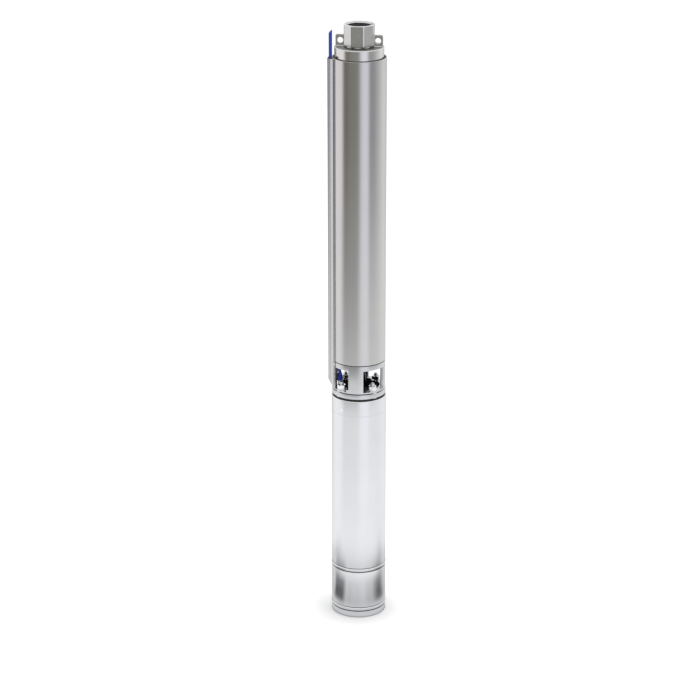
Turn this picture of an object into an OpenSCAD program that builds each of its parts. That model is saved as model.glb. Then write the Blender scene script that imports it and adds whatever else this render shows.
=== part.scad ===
// Borehole submersible pump for a 4 inch well: multistage pump end on a canned motor.
// Millimetres, +Z up the shaft, origin at the centre of the flat base of the motor.
// Rope eyes lie on X, the stud bolts on the diagonals, the cable guard on the left front.

/* [Motor] */
// Outer diameter of the motor shell
motor_od = 96; // [94:0.5:100]
// Wall of the motor shell and of the thrust housing
shell_wall = 1.5; // [1:0.1:2.5]
// Height of the base cover below its bead
base_cover_h = 13; // [11:0.5:20]
// Thickness of the base cover's bottom plate
base_plate_t = 4; // [3:0.5:6]
// Height of each turned bead on the motor
bead_h = 6; // [5:0.5:8]
// How far a bead stands out from the shell
bead_proud = 0.6; // [0.4:0.1:1.2]
// Visible length of the thrust housing
thrust_housing_h = 69.5; // [66:0.5:90]
// Visible length of the motor shell
motor_shell_h = 290; // [260:1:400]
// Visible height of the top bell's band
top_bell_h = 27.5; // [25:0.5:36]
// Diameter of the motor shaft in its bearings
journal_d = 24; // [20:0.5:28]
// Wall of the two motor bearing bushes
motor_bush_wall = 4; // [3:0.5:5]
// Length of the two motor bearing bushes
motor_bush_h = 30; // [24:1:34]
// Outer diameter of the rotor core
rotor_od = 48; // [42:0.5:52]
// Radial gap between the rotor and the stator
air_gap = 0.6; // [0.4:0.1:1]
// Number of slots in the stator core
slot_count = 18; // [12:6:24]
// Diameter of the fill plug in the top bell
fill_plug_d = 6.4; // [5:0.2:8]

/* [Motor face] */
// Width of the ring face around the centring spigot on the motor's top
pilot_lip_w = 4.35; // [4:0.05:4.9]
// Height of the centring spigot
pilot_h = 3; // [2.6:0.1:4]
// Diameter of the stud bolt circle
stud_circle_d = 76.2; // [75:0.1:77.5]
// Diameter of a stud bolt
stud_d = 8; // [7:0.5:9]
// Width of a stud nut across its flats
nut_af = 13; // [12:0.5:14]
// Diameter of the motor shaft's extension
extension_d = 16; // [14:0.5:18]
// Reach of the extension above the motor's top face
extension_h = 38; // [34:1:42]
// Thickness of the joint gasket
gasket_t = 2.5; // [1:0.1:2.5]

/* [Suction interconnector] */
// Height of the flange ring
flange_h = 10; // [8:0.5:12]
// Wall of the windowed body
bracket_wall = 6; // [4.5:0.5:7]
// Height from the flange ring to the window sill
sill_h = 3.5; // [3:0.5:6]
// Height of an inlet window
window_h = 39.5; // [36:0.5:50]
// Width of an inlet window in degrees around the body
window_angle = 57; // [54:1:62]
// Height of the closed rim over the windows
rim_h = 10; // [8:0.5:14]
// Length of the spigot inside the sleeve
spigot_h = 10; // [8:0.5:16]

/* [Pump sleeve] */
// Outer diameter of the pump sleeve
sleeve_od = 93; // [92:0.5:95]
// Wall of the pump sleeve
sleeve_wall = 1.5; // [1:0.1:2]
// Height of the sleeve's rim above the head's shoulder
sleeve_rim_h = 6; // [3:0.5:10]

/* [Stages] */
// Number of pump stages
stage_count = 9; // [4:1:9]
// Height of one stage
stage_pitch = 45; // [42:0.5:50]
// Wall of a stage chamber
chamber_wall = 1.5; // [1:0.1:2]
// Diameter of an impeller
impeller_d = 72; // [66:0.5:74]
// Outer diameter of the impeller's eye
eye_d = 42.8; // [40:0.2:46]
// Outer diameter of the impeller's hub, the journal of the stage bearings
hub_d = 21; // [19:0.5:22]
// Number of impeller vanes
impeller_vanes = 6; // [5:1:7]
// Number of return vanes in a chamber
return_vanes = 7; // [5:1:8]
// Width of the pump shaft's hexagon across its flats
shaft_af = 12; // [10:0.5:13]
// Height of the discharge chamber above the last stage
top_chamber_h = 37.5; // [36:0.5:50]

/* [Discharge head] */
// Length of the head's skirt inside the sleeve
skirt_h = 77; // [74:0.5:90]
// Width of the rubber ring between the sleeve's bore and the head's neck
head_ring_w = 3; // [1.5:0.1:6]
// Height of the head's neck from its shoulder to its top
neck_h = 24; // [20:0.5:30]
// Width of the octagonal port across its flats
port_af = 50; // [48:0.5:54]
// Height of the octagonal port
port_h = 38; // [32:0.5:44]
// Diameter of the outlet's thread bore
outlet_d = 39; // [36:0.2:40]
// Depth of the outlet's thread
outlet_depth = 21.5; // [18:0.5:26]
// Reach of a rope eye from the pump's axis
eye_reach = 40; // [39:0.5:42]
// Height of a rope eye
eye_h = 19.5; // [17:0.5:22]
// Thickness of a rope eye
eye_t = 5; // [4:0.5:7]
// Diameter of the hole in a rope eye
eye_hole_d = 10; // [8:0.5:10.5]

/* [Non-return valve] */
// Diameter of the valve seat's opening
seat_d = 44; // [38:0.5:46]
// Width of the valve cone's rim around its seal
valve_rim_w = 1.9; // [1.4:0.1:3]
// Diameter of the valve stem
stem_d = 8; // [6:0.5:9]
// Lift of the valve
valve_lift = 12; // [8:0.5:14]
// Wire diameter of the valve spring
spring_wire = 1.2; // [0.8:0.1:1.6]
// Turns of the valve spring
spring_turns = 5; // [4:1:6]

/* [Cable guard and lead] */
// Direction of the guard around the pump, counted from +X
guard_polar = 200; // [190:1:205]
// Width of the guard's channel
guard_w = 15; // [13:0.5:17]
// Sheet thickness of the guard
guard_t = 1; // [0.6:0.1:1.4]
// Width of each of the guard's flanges
guard_flange_w = 5; // [4:0.5:6]
// Height of the slanted cut at the guard's foot
guard_slant_h = 15; // [8:1:20]
// Diameter of the motor lead
lead_d = 5.8; // [4.8:0.2:6.2]
// Length of the lead's free end above the sleeve
lead_free_h = 45; // [20:1:80]

/* [Clearances] */
// Radial gap of a seated piece
seat_gap = 0.1; // [0.05:0.05:0.15]
// Radial gap of a running bearing
running_gap = 0.05; // [0.03:0.01:0.08]
// Gap between parts that pass each other
passing_gap = 0.3; // [0.2:0.05:0.4]

/* [Hidden] */
$fn = 96;
steel = [0.74, 0.75, 0.76];
satin_steel = [0.62, 0.62, 0.6];
dark_steel = [0.36, 0.37, 0.39];
bright_steel = [0.85, 0.87, 0.88];
black_rubber = [0.06, 0.06, 0.065];
blue_sheath = [0.05, 0.16, 0.62];
copper = [0.72, 0.42, 0.22];
carbon = [0.16, 0.16, 0.17];

// Motor radii and levels
motor_r = motor_od / 2;
pilot_r = motor_r - pilot_lip_w;
shell_bore_r = motor_r - shell_wall;
motor_spigot_r = shell_bore_r - seat_gap;
motor_spigot_h = 12;
edge = 1;
seam = 0.3;
spigot_wall = 4.4;
spigot_in_r = motor_spigot_r - spigot_wall;
housing_z = base_cover_h + bead_h;
bell_bead_z = housing_z + thrust_housing_h;
shell_z = bell_bead_z + bead_h;
top_bell_z = shell_z + motor_shell_h;
motor_top_z = top_bell_z + top_bell_h;
pilot_z = motor_top_z + pilot_h;

// Base cover and diaphragm
cover_spigot_h = 4;
cover_spigot_z = housing_z + cover_spigot_h;
vent_d = 5;
vent_circle_r = 18;
diaphragm_t = 2;
diaphragm_rise = 19;
diaphragm_side_gap = 4;
diaphragm_r = spigot_in_r - diaphragm_side_gap;
ledge_z = cover_spigot_z + diaphragm_t;
ledge_h = 2;

// Thrust bearing, hung from the level of the lower bell
thrust_disc_h = 10;
thrust_side_gap = 5;
thrust_disc_r = spigot_in_r - thrust_side_gap;
stub_step = 2;
thrust_stub_r = journal_d / 2 - stub_step;
thrust_pad_h = 8;
thrust_pad_count = 6;
thrust_pad_angle = 46;
pad_shaft_gap = 3;
thrust_pad_in_r = journal_d / 2 + pad_shaft_gap;
thrust_carrier_h = 8;
thrust_web_h = 6;
thrust_web_hole_r = 8;
oil_hole_r = 3;
thrust_drop = 4;
thrust_top_z = bell_bead_z - thrust_drop;
thrust_disc_z = thrust_top_z - thrust_disc_h;
thrust_pad_z = thrust_disc_z - passing_gap - thrust_pad_h;
thrust_carrier_z = thrust_pad_z - thrust_carrier_h;
thrust_web_z = thrust_carrier_z - thrust_web_h;

// Motor bearings, core and shaft
journal_r = journal_d / 2;
motor_bush_in_r = journal_r + running_gap;
motor_bush_r = journal_r + motor_bush_wall;
bush_seat_r = motor_bush_r + seat_gap / 2;
bearing_hub_wall = 5;
bearing_hub_r = bush_seat_r + bearing_hub_wall;
bell_web_h = 8;
lower_bush_z = shell_z;
upper_bush_rise = 8;
upper_bush_z = top_bell_z + upper_bush_rise - motor_bush_h;
core_inset = 55;
core_z = shell_z + core_inset;
core_h = motor_shell_h - 2 * core_inset;
winding_overhang = 18;
rotor_r = rotor_od / 2;
core_in_r = rotor_r + air_gap;
tooth_tip_h = 3;
slot_in_r = core_in_r + tooth_tip_h;
slot_depth = 10;
slot_w = 5;
winding_bulge = 4;
winding_r = slot_in_r + slot_depth + winding_bulge;
cage_ring_h = 6;
cage_ring_step = 2;
cage_ring_r = rotor_r - cage_ring_step;
shoulder_drop = 14;
shoulder_z = motor_top_z - shoulder_drop;
extension_r = extension_d / 2;
extension_top_z = motor_top_z + extension_h;
face_plate_h = 15;
seal_h = 10;
seal_wall = 7;
seal_r = extension_r + seal_wall;
fill_plug_drop = 17.5;
fill_plug_z = motor_top_z - fill_plug_drop;
fill_plug_polar = 240;
fill_plug_r = fill_plug_d / 2;
fill_plug_depth = 3.4;
fill_plug_proud = 0.6;

// Studs, lead socket and slinger on the motor's face
stud_r = stud_d / 2;
stud_circle_r = stud_circle_d / 2;
stud_polars = [45, 135, 225, 315];
stud_seat_depth = 13;
stud_reach = 14;
stud_hole_gap = 0.4;
stud_hole_r = stud_r + stud_hole_gap;
washer_t = 1.6;
nut_h = 6.5;
nut_r = nut_af / 2 / cos(30);
washer_lap = 0.5;
washer_r = nut_r + washer_lap;
boss_r = washer_r + washer_lap;
socket_r = 5;
socket_depth = 11;
socket_circle_r = 34;
gland_af = 11;
notch_r = 7.2;
gland_h = 7;
boot_h = 30;
boot_r = 5.3;
boot_tip_r = 3.7;
slinger_h = 5;
slinger_w = 10;
slinger_r = extension_r + slinger_w;

// Suction interconnector levels
bracket_z = motor_top_z + gasket_t;
flange_step = 1;
flange_r = motor_r - flange_step;
bracket_r = sleeve_od / 2 - seat_gap;
bracket_in_r = bracket_r - bracket_wall;
bracket_top_z = bracket_z + flange_h;
sill_z = bracket_top_z + sill_h;
window_top_z = sill_z + window_h;
sleeve_z = window_top_z + rim_h;
pump_z = sleeve_z + spigot_h;
pilot_recess_r = pilot_r + seat_gap;
pilot_recess_z = pilot_z + seat_gap;
plate_w = 4;
plate_in_r = bracket_in_r - plate_w;
sill_land_h = 0.8;
sill_land_z = sill_z + sill_land_h;
gasket_inset = 1;
gasket_lip_w = 0.8;
gasket_lip_h = 1.5;
gasket_r = flange_r - gasket_inset;
rebate_r = gasket_r - gasket_lip_w;
rebate_z = bracket_z + gasket_lip_h;
joint_groove_d = 0.9;
joint_groove_h = 1.2;
groove_r = bracket_r - joint_groove_d;
lead_notch_h = 7;
lead_notch_spare = 3;
stud_top_z = sill_z + stud_reach;
slinger_z = pilot_z + 1;
coupling_gap = 4;
coupling_wall = 5;
coupling_groove = 1.5;
coupling_groove_h = 6;
coupling_z = slinger_z + slinger_h + coupling_gap;
coupling_r = extension_r + coupling_wall;
coupling_top_z = window_top_z + rim_h / 2;

// Sleeve and stage sizes
sleeve_r = sleeve_od / 2;
sleeve_bore_r = sleeve_r - sleeve_wall;
chamber_r = sleeve_bore_r - 2 * seat_gap;
chamber_bore_r = chamber_r - chamber_wall;
plate_t = 1.6;
hub_r = hub_d / 2;
stage_bush_in_r = hub_r + running_gap;
stage_bush_wall = 3;
stage_bush_r = hub_r + stage_bush_wall;
stage_seat_r = stage_bush_r + seat_gap / 2;
stage_boss_wall = 3;
stage_boss_r = stage_seat_r + stage_boss_wall;
impeller_r = impeller_d / 2;
shroud_t = 1.4;
eye_r = eye_d / 2;
eye_in_r = eye_r - shroud_t;
neck_ring_gap = 0.2;
neck_ring_wall = 2.4;
neck_ring_in_r = eye_r + neck_ring_gap;
neck_ring_r = neck_ring_in_r + neck_ring_wall;
neck_ring_h = 4;
neck_flange_w = 3;
neck_flange_r = neck_ring_r + neck_flange_w;
neck_flange_h = 1.5;
neck_hole_r = neck_ring_r + seat_gap / 2;
hub_start = 2;
front_z = 5;
front_rise = 3.5;
back_z = 11.5;
back_rise = 6;
back_t = 3;
vane_t = 1.4;
vane_hub_gap = 3.5;
vane_in_r = hub_r + vane_hub_gap;
diffuser_z = 20.5;
diffuser_t = 1.6;
diffuser_lap = 1.5;
diffuser_r = impeller_r + diffuser_lap;
return_vane_t = 1.6;
return_vane_in_r = stage_boss_r + 0.5;
stage_bush_h = 15;
stage_bush_z = diffuser_z + 0.5;

// Top of the stack and the head
stages_top_z = pump_z + stage_count * stage_pitch;
head_z = stages_top_z + top_chamber_h;
top_flange_h = 3;
top_bush_z = 10;
top_bush_h = 20;
top_boss_margin = 2;
spider_count = 5;
spider_t = 3;
spider_z = 9;
spider_h = 20;
nut_journal_h = top_chamber_h - 5.5 - hub_start;
shaft_nut_h = 4;
shaft_nut_r = hub_r - 0.1;
shaft_stub_r = 5;
shaft_stub_h = nut_journal_h + 1;
skirt_r = sleeve_bore_r - seat_gap;
skirt_wall = 3.4;
head_ledge_w = 3.5;
skirt_bore_r = skirt_r - skirt_wall;
head_bore_r = skirt_bore_r - head_ledge_w;
shoulder_top_z = head_z + skirt_h;
sleeve_top_z = shoulder_top_z + sleeve_rim_h;
neck_r = sleeve_bore_r - head_ring_w;
neck_top_z = shoulder_top_z + neck_h;
port_top_z = neck_top_z + port_h;
port_r = port_af / 2 / cos(22.5);
port_chamfer = 1.5;
port_edge = 0.8;
port_foot_h = 1.5;
port_foot_step = 0.5;
outlet_r = outlet_d / 2;
outlet_mouth_w = 1.5;
outlet_mouth_h = 3;
throat_step = 1;
throat_r = outlet_r - throat_step;
throat_h = 7;
throat_z = neck_top_z - throat_h;
dome_rise = 1;
dome_z = shoulder_top_z + dome_rise;
eye_wall = 3;
eye_hole_x = eye_reach - eye_hole_d / 2 - eye_wall;
eye_hole_z = neck_top_z + eye_h / 2;
eye_corner = 3;

// Non-return valve levels
seat_plate_h = 6;
seat_lip_h = 2;
seat_lip_w = 4;
seat_r = seat_d / 2;
seat_out_r = skirt_bore_r - seat_gap;
seat_plate_z = head_z + seat_plate_h;
seat_lip_z = seat_plate_z + seat_lip_h;
guide_ring_h = 4;
guide_ring_z = seat_plate_z + guide_ring_h;
seal_ring_h = 2.5;
seal_ring_in_r = seat_r - 1;
seal_ring_r = seat_r + seat_lip_w + 1;
disc_z = seat_lip_z + seal_ring_h;
disc_h = 3.5;
disc_r = seal_ring_r + seat_gap + valve_rim_w;
nose_r = seal_ring_in_r - seat_gap / 2;
nose_drop = 4;
nose_wall = 3;
stem_r = stem_d / 2;
spring_seat_w = 5.5;
spring_seat_h = 4;
spring_gap = 3;
spring_seat_r = stem_r + spring_seat_w;
spring_seat_z = disc_z + disc_h + spring_seat_h;
spring_mean_r = stem_r + spring_gap;
spring_spare = 5;
spring_length = valve_lift + spring_turns * spring_wire + spring_spare;
guide_hub_z = spring_seat_z + spring_length;
guide_hub_h = 16;
guide_hub_wall = 5;
guide_hub_r = stem_r + guide_hub_wall;
guide_arm_h = 4;
guide_leg_count = 4;
guide_leg_w = 8;
guide_leg_t = 4;
guide_leg_r = head_bore_r - edge;
guide_leg_in_r = guide_leg_r - guide_leg_t;
stem_rise = 3;
stem_top_z = guide_hub_z + guide_hub_h + stem_rise;

// Guard and lead
guard_r = sleeve_r + seat_gap;
lead_r = lead_d / 2;
lead_pos_r = guard_r + 0.1 + lead_r;
guard_top_r = lead_pos_r + lead_r + 0.3 + guard_t;
guard_z = sill_z - 1;
guard_corner = 2.4;
guard_half_angle = atan((guard_w / 2 + guard_flange_w) / guard_r);
screw_angle = atan((guard_w / 2 + guard_flange_w / 2) / guard_r);
screw_z = window_top_z + rim_h / 2;
screw_r = 1.2;
screw_head_r = 2.2;
screw_head_h = 1.2;
screw_depth = 4;
gland_top_z = pilot_z + gland_h;
boot_top_z = gland_top_z + boot_h;
lead_bend_h = 24;
lead_bend_r = lead_pos_r - socket_circle_r;
lead_bend_angle = 2 * atan(lead_bend_r / lead_bend_h);
lead_bend_arc = lead_bend_h / 2 / sin(lead_bend_angle);
lead_swing = 1.5;
lead_steps = 7;
lead_sides = 12;
lead_top_z = sleeve_top_z + lead_free_h;
lead_cut_slope = 1;

stages = [1:stage_count];

// Shapes that repeat

// A solid turned about the pump's axis from its half section
module turned(section) {
    rotate_extrude() polygon(section);
}

// A plain ring
module ring(in_r, out_r, z, h) {
    turned([[in_r, z], [out_r, z], [out_r, z + h], [in_r, z + h]]);
}

// A round bar or hole that stands up at a radius and a direction
module post(circle_r, polar, r, z, h) {
    rotate([0, 0, polar]) translate([circle_r, 0, z]) cylinder(r = r, h = h);
}

// A round bar or hole that lies along a radius
module radial_bar(polar, from_r, to_r, r, z) {
    rotate([0, 0, polar]) translate([from_r, 0, z]) rotate([0, 90, 0]) cylinder(r = r, h = to_r - from_r);
}

// One blade of a ring of arc shaped blades, seen from above
module arc_blade(in_r, out_r, thick) {
    arc_r = out_r * 0.576;
    arc_x = out_r * 0.478;
    intersection() {
        difference() {
            circle(r = out_r);
            circle(r = in_r);
        }
        translate([arc_x, 0]) difference() {
            circle(r = arc_r + thick / 2);
            circle(r = arc_r - thick / 2);
        }
        translate([-out_r, 0]) square([2 * out_r, out_r]);
    }
}

// A ring of arc shaped blades of one height
module arc_blades(count, in_r, out_r, thick, z, h) {
    for (i = [0:count - 1])
        rotate([0, 0, i * 360 / count])
            translate([0, 0, z]) linear_extrude(height = h) arc_blade(in_r, out_r, thick);
}

// Tube swept along a list of points, one ring of corners to a point
function unit(v) = v / norm(v);
function route_way(route, i) =
    unit(route[min(i + 1, len(route) - 1)] - route[max(i - 1, 0)]);
function ring_side(way, side) = unit(side - (side * way) * way);
function ring_corner(route, i, r, side, a) =
    let (way = route_way(route, i), across = ring_side(way, side))
    route[i] + r * (cos(a) * across + sin(a) * cross(way, across));
function tube_faces(rings, sides) = concat(
    [[for (k = [0:sides - 1]) k]],
    [for (i = [0:rings - 2], k = [0:sides - 1])
        let (a = i * sides + k, b = i * sides + (k + 1) % sides)
        [a, a + sides, b + sides, b]],
    [[for (k = [sides - 1:-1:0]) (rings - 1) * sides + k]]
);

// Motor

module base_cover() {
    color(bright_steel) difference() {
        turned([
            [0, 0], [motor_r - edge, 0], [motor_r, edge], [motor_r, base_cover_h],
            [motor_r + bead_proud, base_cover_h + bead_proud],
            [motor_r + bead_proud, housing_z - bead_proud], [motor_r, housing_z],
            [motor_spigot_r, housing_z], [motor_spigot_r, cover_spigot_z],
            [spigot_in_r, cover_spigot_z], [spigot_in_r, base_plate_t], [0, base_plate_t]
        ]);
        for (a = [0:90:270]) post(vent_circle_r, a, vent_d / 2, -1, base_plate_t + 2);
    }
}

module diaphragm() {
    top_z = ledge_z + diaphragm_rise;
    shoulder = 4;
    color(black_rubber) turned([
        [0, top_z - diaphragm_t], [diaphragm_r - shoulder - diaphragm_t, top_z - diaphragm_t],
        [diaphragm_r - diaphragm_t, top_z - shoulder - diaphragm_t],
        [diaphragm_r - diaphragm_t, cover_spigot_z],
        [motor_spigot_r, cover_spigot_z], [motor_spigot_r, ledge_z],
        [diaphragm_r, ledge_z], [diaphragm_r, top_z - shoulder],
        [diaphragm_r - shoulder, top_z], [0, top_z]
    ]);
}

module thrust_housing() {
    color(bright_steel) difference() {
        turned([
            [shell_bore_r, housing_z], [motor_r, housing_z],
            [motor_r, bell_bead_z], [shell_bore_r, bell_bead_z],
            [shell_bore_r, thrust_carrier_z], [thrust_web_hole_r, thrust_carrier_z],
            [thrust_web_hole_r, thrust_web_z], [shell_bore_r, thrust_web_z],
            [shell_bore_r, ledge_z + ledge_h], [spigot_in_r, ledge_z + ledge_h],
            [spigot_in_r, ledge_z], [shell_bore_r, ledge_z]
        ]);
        for (a = [45:90:315])
            post(thrust_disc_r + oil_hole_r, a, oil_hole_r, thrust_web_z - 1, thrust_web_h + 2);
    }
}

module thrust_carrier() {
    pin_r = thrust_web_hole_r - seat_gap;
    color(dark_steel) turned([
        [0, thrust_web_z], [pin_r, thrust_web_z], [pin_r, thrust_carrier_z],
        [thrust_disc_r - edge, thrust_carrier_z], [thrust_disc_r - edge, thrust_pad_z], [0, thrust_pad_z]
    ]);
}

module thrust_pads() {
    pitch = 360 / thrust_pad_count;
    color(carbon) for (i = [0:thrust_pad_count - 1])
        rotate([0, 0, i * pitch]) rotate_extrude(angle = thrust_pad_angle)
            translate([thrust_pad_in_r, thrust_pad_z])
                square([thrust_disc_r - 2 * edge - thrust_pad_in_r, thrust_pad_h]);
}

module lower_end_bell() {
    bore_z = shell_z - bell_web_h;
    pass_r = journal_r + 1;
    color(bright_steel) difference() {
        turned([
            [pass_r, bore_z], [spigot_in_r, bore_z],
            [spigot_in_r, bell_bead_z - bell_web_h], [motor_spigot_r, bell_bead_z - bell_web_h],
            [motor_spigot_r, bell_bead_z], [motor_r, bell_bead_z],
            [motor_r + bead_proud, bell_bead_z + bead_proud], [motor_r + bead_proud, shell_z - bead_proud],
            [motor_r, shell_z], [motor_spigot_r, shell_z], [motor_spigot_r, shell_z + motor_spigot_h],
            [spigot_in_r, shell_z + motor_spigot_h], [spigot_in_r, shell_z],
            [bearing_hub_r, shell_z], [bearing_hub_r, lower_bush_z + motor_bush_h],
            [bush_seat_r, lower_bush_z + motor_bush_h], [bush_seat_r, lower_bush_z],
            [pass_r, lower_bush_z]
        ]);
        for (a = [45:90:315])
            post((bearing_hub_r + spigot_in_r) / 2, a, 2 * oil_hole_r, bore_z - 1, bell_web_h + 2);
    }
}

module motor_bearings() {
    color(carbon) {
        ring(motor_bush_in_r, motor_bush_r, lower_bush_z, motor_bush_h);
        ring(motor_bush_in_r, motor_bush_r, upper_bush_z, motor_bush_h);
    }
}

module motor_shell() {
    color(bright_steel) turned([
        [shell_bore_r, shell_z], [motor_r, shell_z], [motor_r, top_bell_z - seam],
        [motor_r - seam, top_bell_z], [shell_bore_r, top_bell_z]
    ]);
}

// Places one slot's worth of its children all round the stator
module around_slots() {
    for (i = [0:slot_count - 1]) rotate([0, 0, i * 360 / slot_count]) translate([slot_in_r, 0, 0]) children();
}

module stator_core() {
    color(dark_steel) translate([0, 0, core_z]) linear_extrude(height = core_h) difference() {
        circle(r = motor_spigot_r);
        circle(r = core_in_r);
        around_slots() translate([0, -slot_w / 2]) square([slot_depth, slot_w]);
    }
}

module stator_windings() {
    bar_w = slot_w - 2 * seat_gap;
    color(copper) {
        ring(slot_in_r, winding_r, core_z - winding_overhang, winding_overhang);
        ring(slot_in_r, winding_r, core_z + core_h, winding_overhang);
        around_slots() translate([seat_gap, -bar_w / 2, core_z - edge])
            cube([slot_depth - 2 * seat_gap, bar_w, core_h + 2 * edge]);
    }
}

module motor_top_bell() {
    plate_z = motor_top_z - face_plate_h;
    pass_r = journal_r + 1;
    color(bright_steel) difference() {
        turned([
            [bush_seat_r, upper_bush_z], [bearing_hub_r, upper_bush_z], [bearing_hub_r, plate_z],
            [spigot_in_r, plate_z], [spigot_in_r, top_bell_z - motor_spigot_h],
            [motor_spigot_r, top_bell_z - motor_spigot_h], [motor_spigot_r, top_bell_z],
            [motor_r - seam, top_bell_z], [motor_r, top_bell_z + seam],
            [motor_r, motor_top_z - edge], [motor_r - edge, motor_top_z],
            [pilot_r, motor_top_z], [pilot_r, pilot_z], [seal_r + seat_gap, pilot_z],
            [seal_r + seat_gap, pilot_z - seal_h], [pass_r, pilot_z - seal_h],
            [pass_r, upper_bush_z + motor_bush_h], [bush_seat_r, upper_bush_z + motor_bush_h]
        ]);
        for (a = stud_polars)
            post(
                stud_circle_r, a, stud_r + seat_gap,
                motor_top_z - stud_seat_depth, stud_seat_depth + pilot_h + 1
            );
        post(socket_circle_r, guard_polar, socket_r + seat_gap, pilot_z - socket_depth, socket_depth + 1);
        radial_bar(
            fill_plug_polar, motor_r - fill_plug_depth, motor_r + 1, fill_plug_r + seat_gap, fill_plug_z
        );
    }
}

module fill_plug() {
    key_r = fill_plug_r * 0.55;
    color(bright_steel) difference() {
        radial_bar(
            fill_plug_polar, motor_r - fill_plug_depth, motor_r + fill_plug_proud, fill_plug_r, fill_plug_z
        );
        rotate([0, 0, fill_plug_polar]) translate([motor_r - 1, 0, fill_plug_z])
            rotate([0, 90, 0]) cylinder(r = key_r, h = 3, $fn = 6);
    }
}

module shaft_seal() {
    color(black_rubber) ring(extension_r + running_gap, seal_r, pilot_z - seal_h, seal_h);
}

// Flat gasket with a lip that fills the rebate under the flange
module motor_gasket() {
    color(black_rubber) turned([
        [pilot_recess_r, motor_top_z], [gasket_r, motor_top_z], [gasket_r, rebate_z],
        [rebate_r + seat_gap, rebate_z], [rebate_r + seat_gap, bracket_z], [pilot_recess_r, bracket_z]
    ]);
}

// Lead from the motor's face to the top of the guard

module lead_connector() {
    gland_r = gland_af / 2 / cos(30);
    color(dark_steel) rotate([0, 0, guard_polar]) translate([socket_circle_r, 0, 0]) {
        translate([0, 0, pilot_z - socket_depth]) cylinder(r = socket_r, h = socket_depth);
        translate([0, 0, pilot_z]) cylinder(r = gland_r, h = gland_h, $fn = 6);
    }
}

module lead_boot() {
    bore_r = lead_r + seat_gap;
    color(blue_sheath) rotate([0, 0, guard_polar]) translate([socket_circle_r, 0, 0]) turned([
        [bore_r, gland_top_z], [boot_r - edge, gland_top_z], [boot_r, gland_top_z + 2],
        [boot_r, gland_top_z + boot_h * 0.6], [boot_tip_r, boot_top_z], [bore_r, boot_top_z]
    ]);
}

// Point of the lead's double bend out of the window, at a share of its way
function lead_bend(t) =
    let (
        a = lead_bend_angle * (t < 0.5 ? 2 * t : 2 - 2 * t),
        out = lead_bend_arc * (1 - cos(a)),
        up = lead_bend_arc * sin(a),
        r = t < 0.5 ? socket_circle_r + out : lead_pos_r - out,
        z = t < 0.5 ? boot_top_z + up : boot_top_z + lead_bend_h - up,
        polar = guard_polar + lead_swing * sin(180 * t)
    )
    [r * cos(polar), r * sin(polar), z];

lead_axis = [cos(guard_polar), sin(guard_polar), 0];
lead_route = concat(
    [socket_circle_r * lead_axis + [0, 0, gland_top_z]],
    [for (i = [0:2 * lead_steps]) lead_bend(i / (2 * lead_steps))],
    [lead_pos_r * lead_axis + [0, 0, sleeve_top_z], lead_pos_r * lead_axis + [0, 0, lead_top_z]]
);

module motor_lead() {
    side = [-sin(guard_polar), cos(guard_polar), 0];
    last = len(lead_route) - 1;
    corners = [for (i = [0:last], k = [0:lead_sides - 1])
        let (p = ring_corner(lead_route, i, lead_r, side, k * 360 / lead_sides))
        i < last ? p : p - [0, 0, lead_cut_slope * (p * lead_axis - lead_pos_r)]];
    color(blue_sheath) polyhedron(points = corners, faces = tube_faces(last + 1, lead_sides));
}

// Suction interconnector and its fastenings

module suction_interconnector() {
    far = bracket_r + 4;
    color(steel) difference() {
        union() {
            turned([
                [pilot_recess_r, bracket_z], [rebate_r, bracket_z], [rebate_r, rebate_z],
                [flange_r, rebate_z], [flange_r, bracket_top_z - edge], [groove_r, bracket_top_z],
                [groove_r, bracket_top_z + joint_groove_h], [bracket_r, bracket_top_z + joint_groove_h],
                [bracket_r, sleeve_z - joint_groove_h], [groove_r, sleeve_z - joint_groove_h],
                [groove_r, sleeve_z], [skirt_r, sleeve_z],
                [skirt_r, pump_z - edge], [skirt_r - edge, pump_z], [bracket_in_r, pump_z],
                [bracket_in_r, sill_land_z], [plate_in_r, sill_land_z], [plate_in_r, pilot_recess_z],
                [pilot_recess_r, pilot_recess_z]
            ]);
            intersection() {
                for (a = stud_polars)
                    post(stud_circle_r, a, boss_r, pilot_recess_z, sill_land_z - pilot_recess_z);
                cylinder(r = rebate_r - edge, h = sill_land_z + edge);
            }
        }
        for (a = stud_polars) {
            rotate([0, 0, a - window_angle / 2]) rotate_extrude(angle = window_angle)
                translate([stud_circle_r - boss_r - edge, sill_z])
                    square([far - stud_circle_r + boss_r, window_h]);
            post(stud_circle_r, a, stud_hole_r, bracket_z, flange_h + sill_h + 1);
        }
        post(socket_circle_r, guard_polar, notch_r, bracket_z, flange_h + sill_h + 1);
        // Notch in the rim, under the guard, where the lead comes out
        rotate([0, 0, guard_polar + lead_swing])
            translate([bracket_in_r - edge, -(lead_d + lead_notch_spare) / 2, window_top_z - edge])
                cube([far - bracket_in_r, lead_d + lead_notch_spare, lead_notch_h + edge]);
        for (s = [-1, 1])
            radial_bar(
                guard_polar + s * screw_angle, bracket_r - screw_depth, far, screw_r + seat_gap, screw_z
            );
    }
}

module motor_studs() {
    color(bright_steel) for (a = stud_polars) rotate([0, 0, a]) translate([stud_circle_r, 0, 0]) turned([
        [0, motor_top_z - stud_seat_depth], [stud_r, motor_top_z - stud_seat_depth],
        [stud_r, stud_top_z - edge], [stud_r - edge, stud_top_z], [0, stud_top_z]
    ]);
}

module stud_washers() {
    color(bright_steel) for (a = stud_polars) rotate([0, 0, a]) translate([stud_circle_r, 0, 0])
        ring(stud_r + seat_gap, washer_r, sill_z, washer_t);
}

module stud_nuts() {
    color(bright_steel) for (a = stud_polars)
        rotate([0, 0, a]) translate([stud_circle_r, 0, sill_z + washer_t]) difference() {
            cylinder(r = nut_r, h = nut_h, $fn = 6);
            translate([0, 0, -1]) cylinder(r = stud_r + seat_gap, h = nut_h + 2);
        }
}

// Stages

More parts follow.
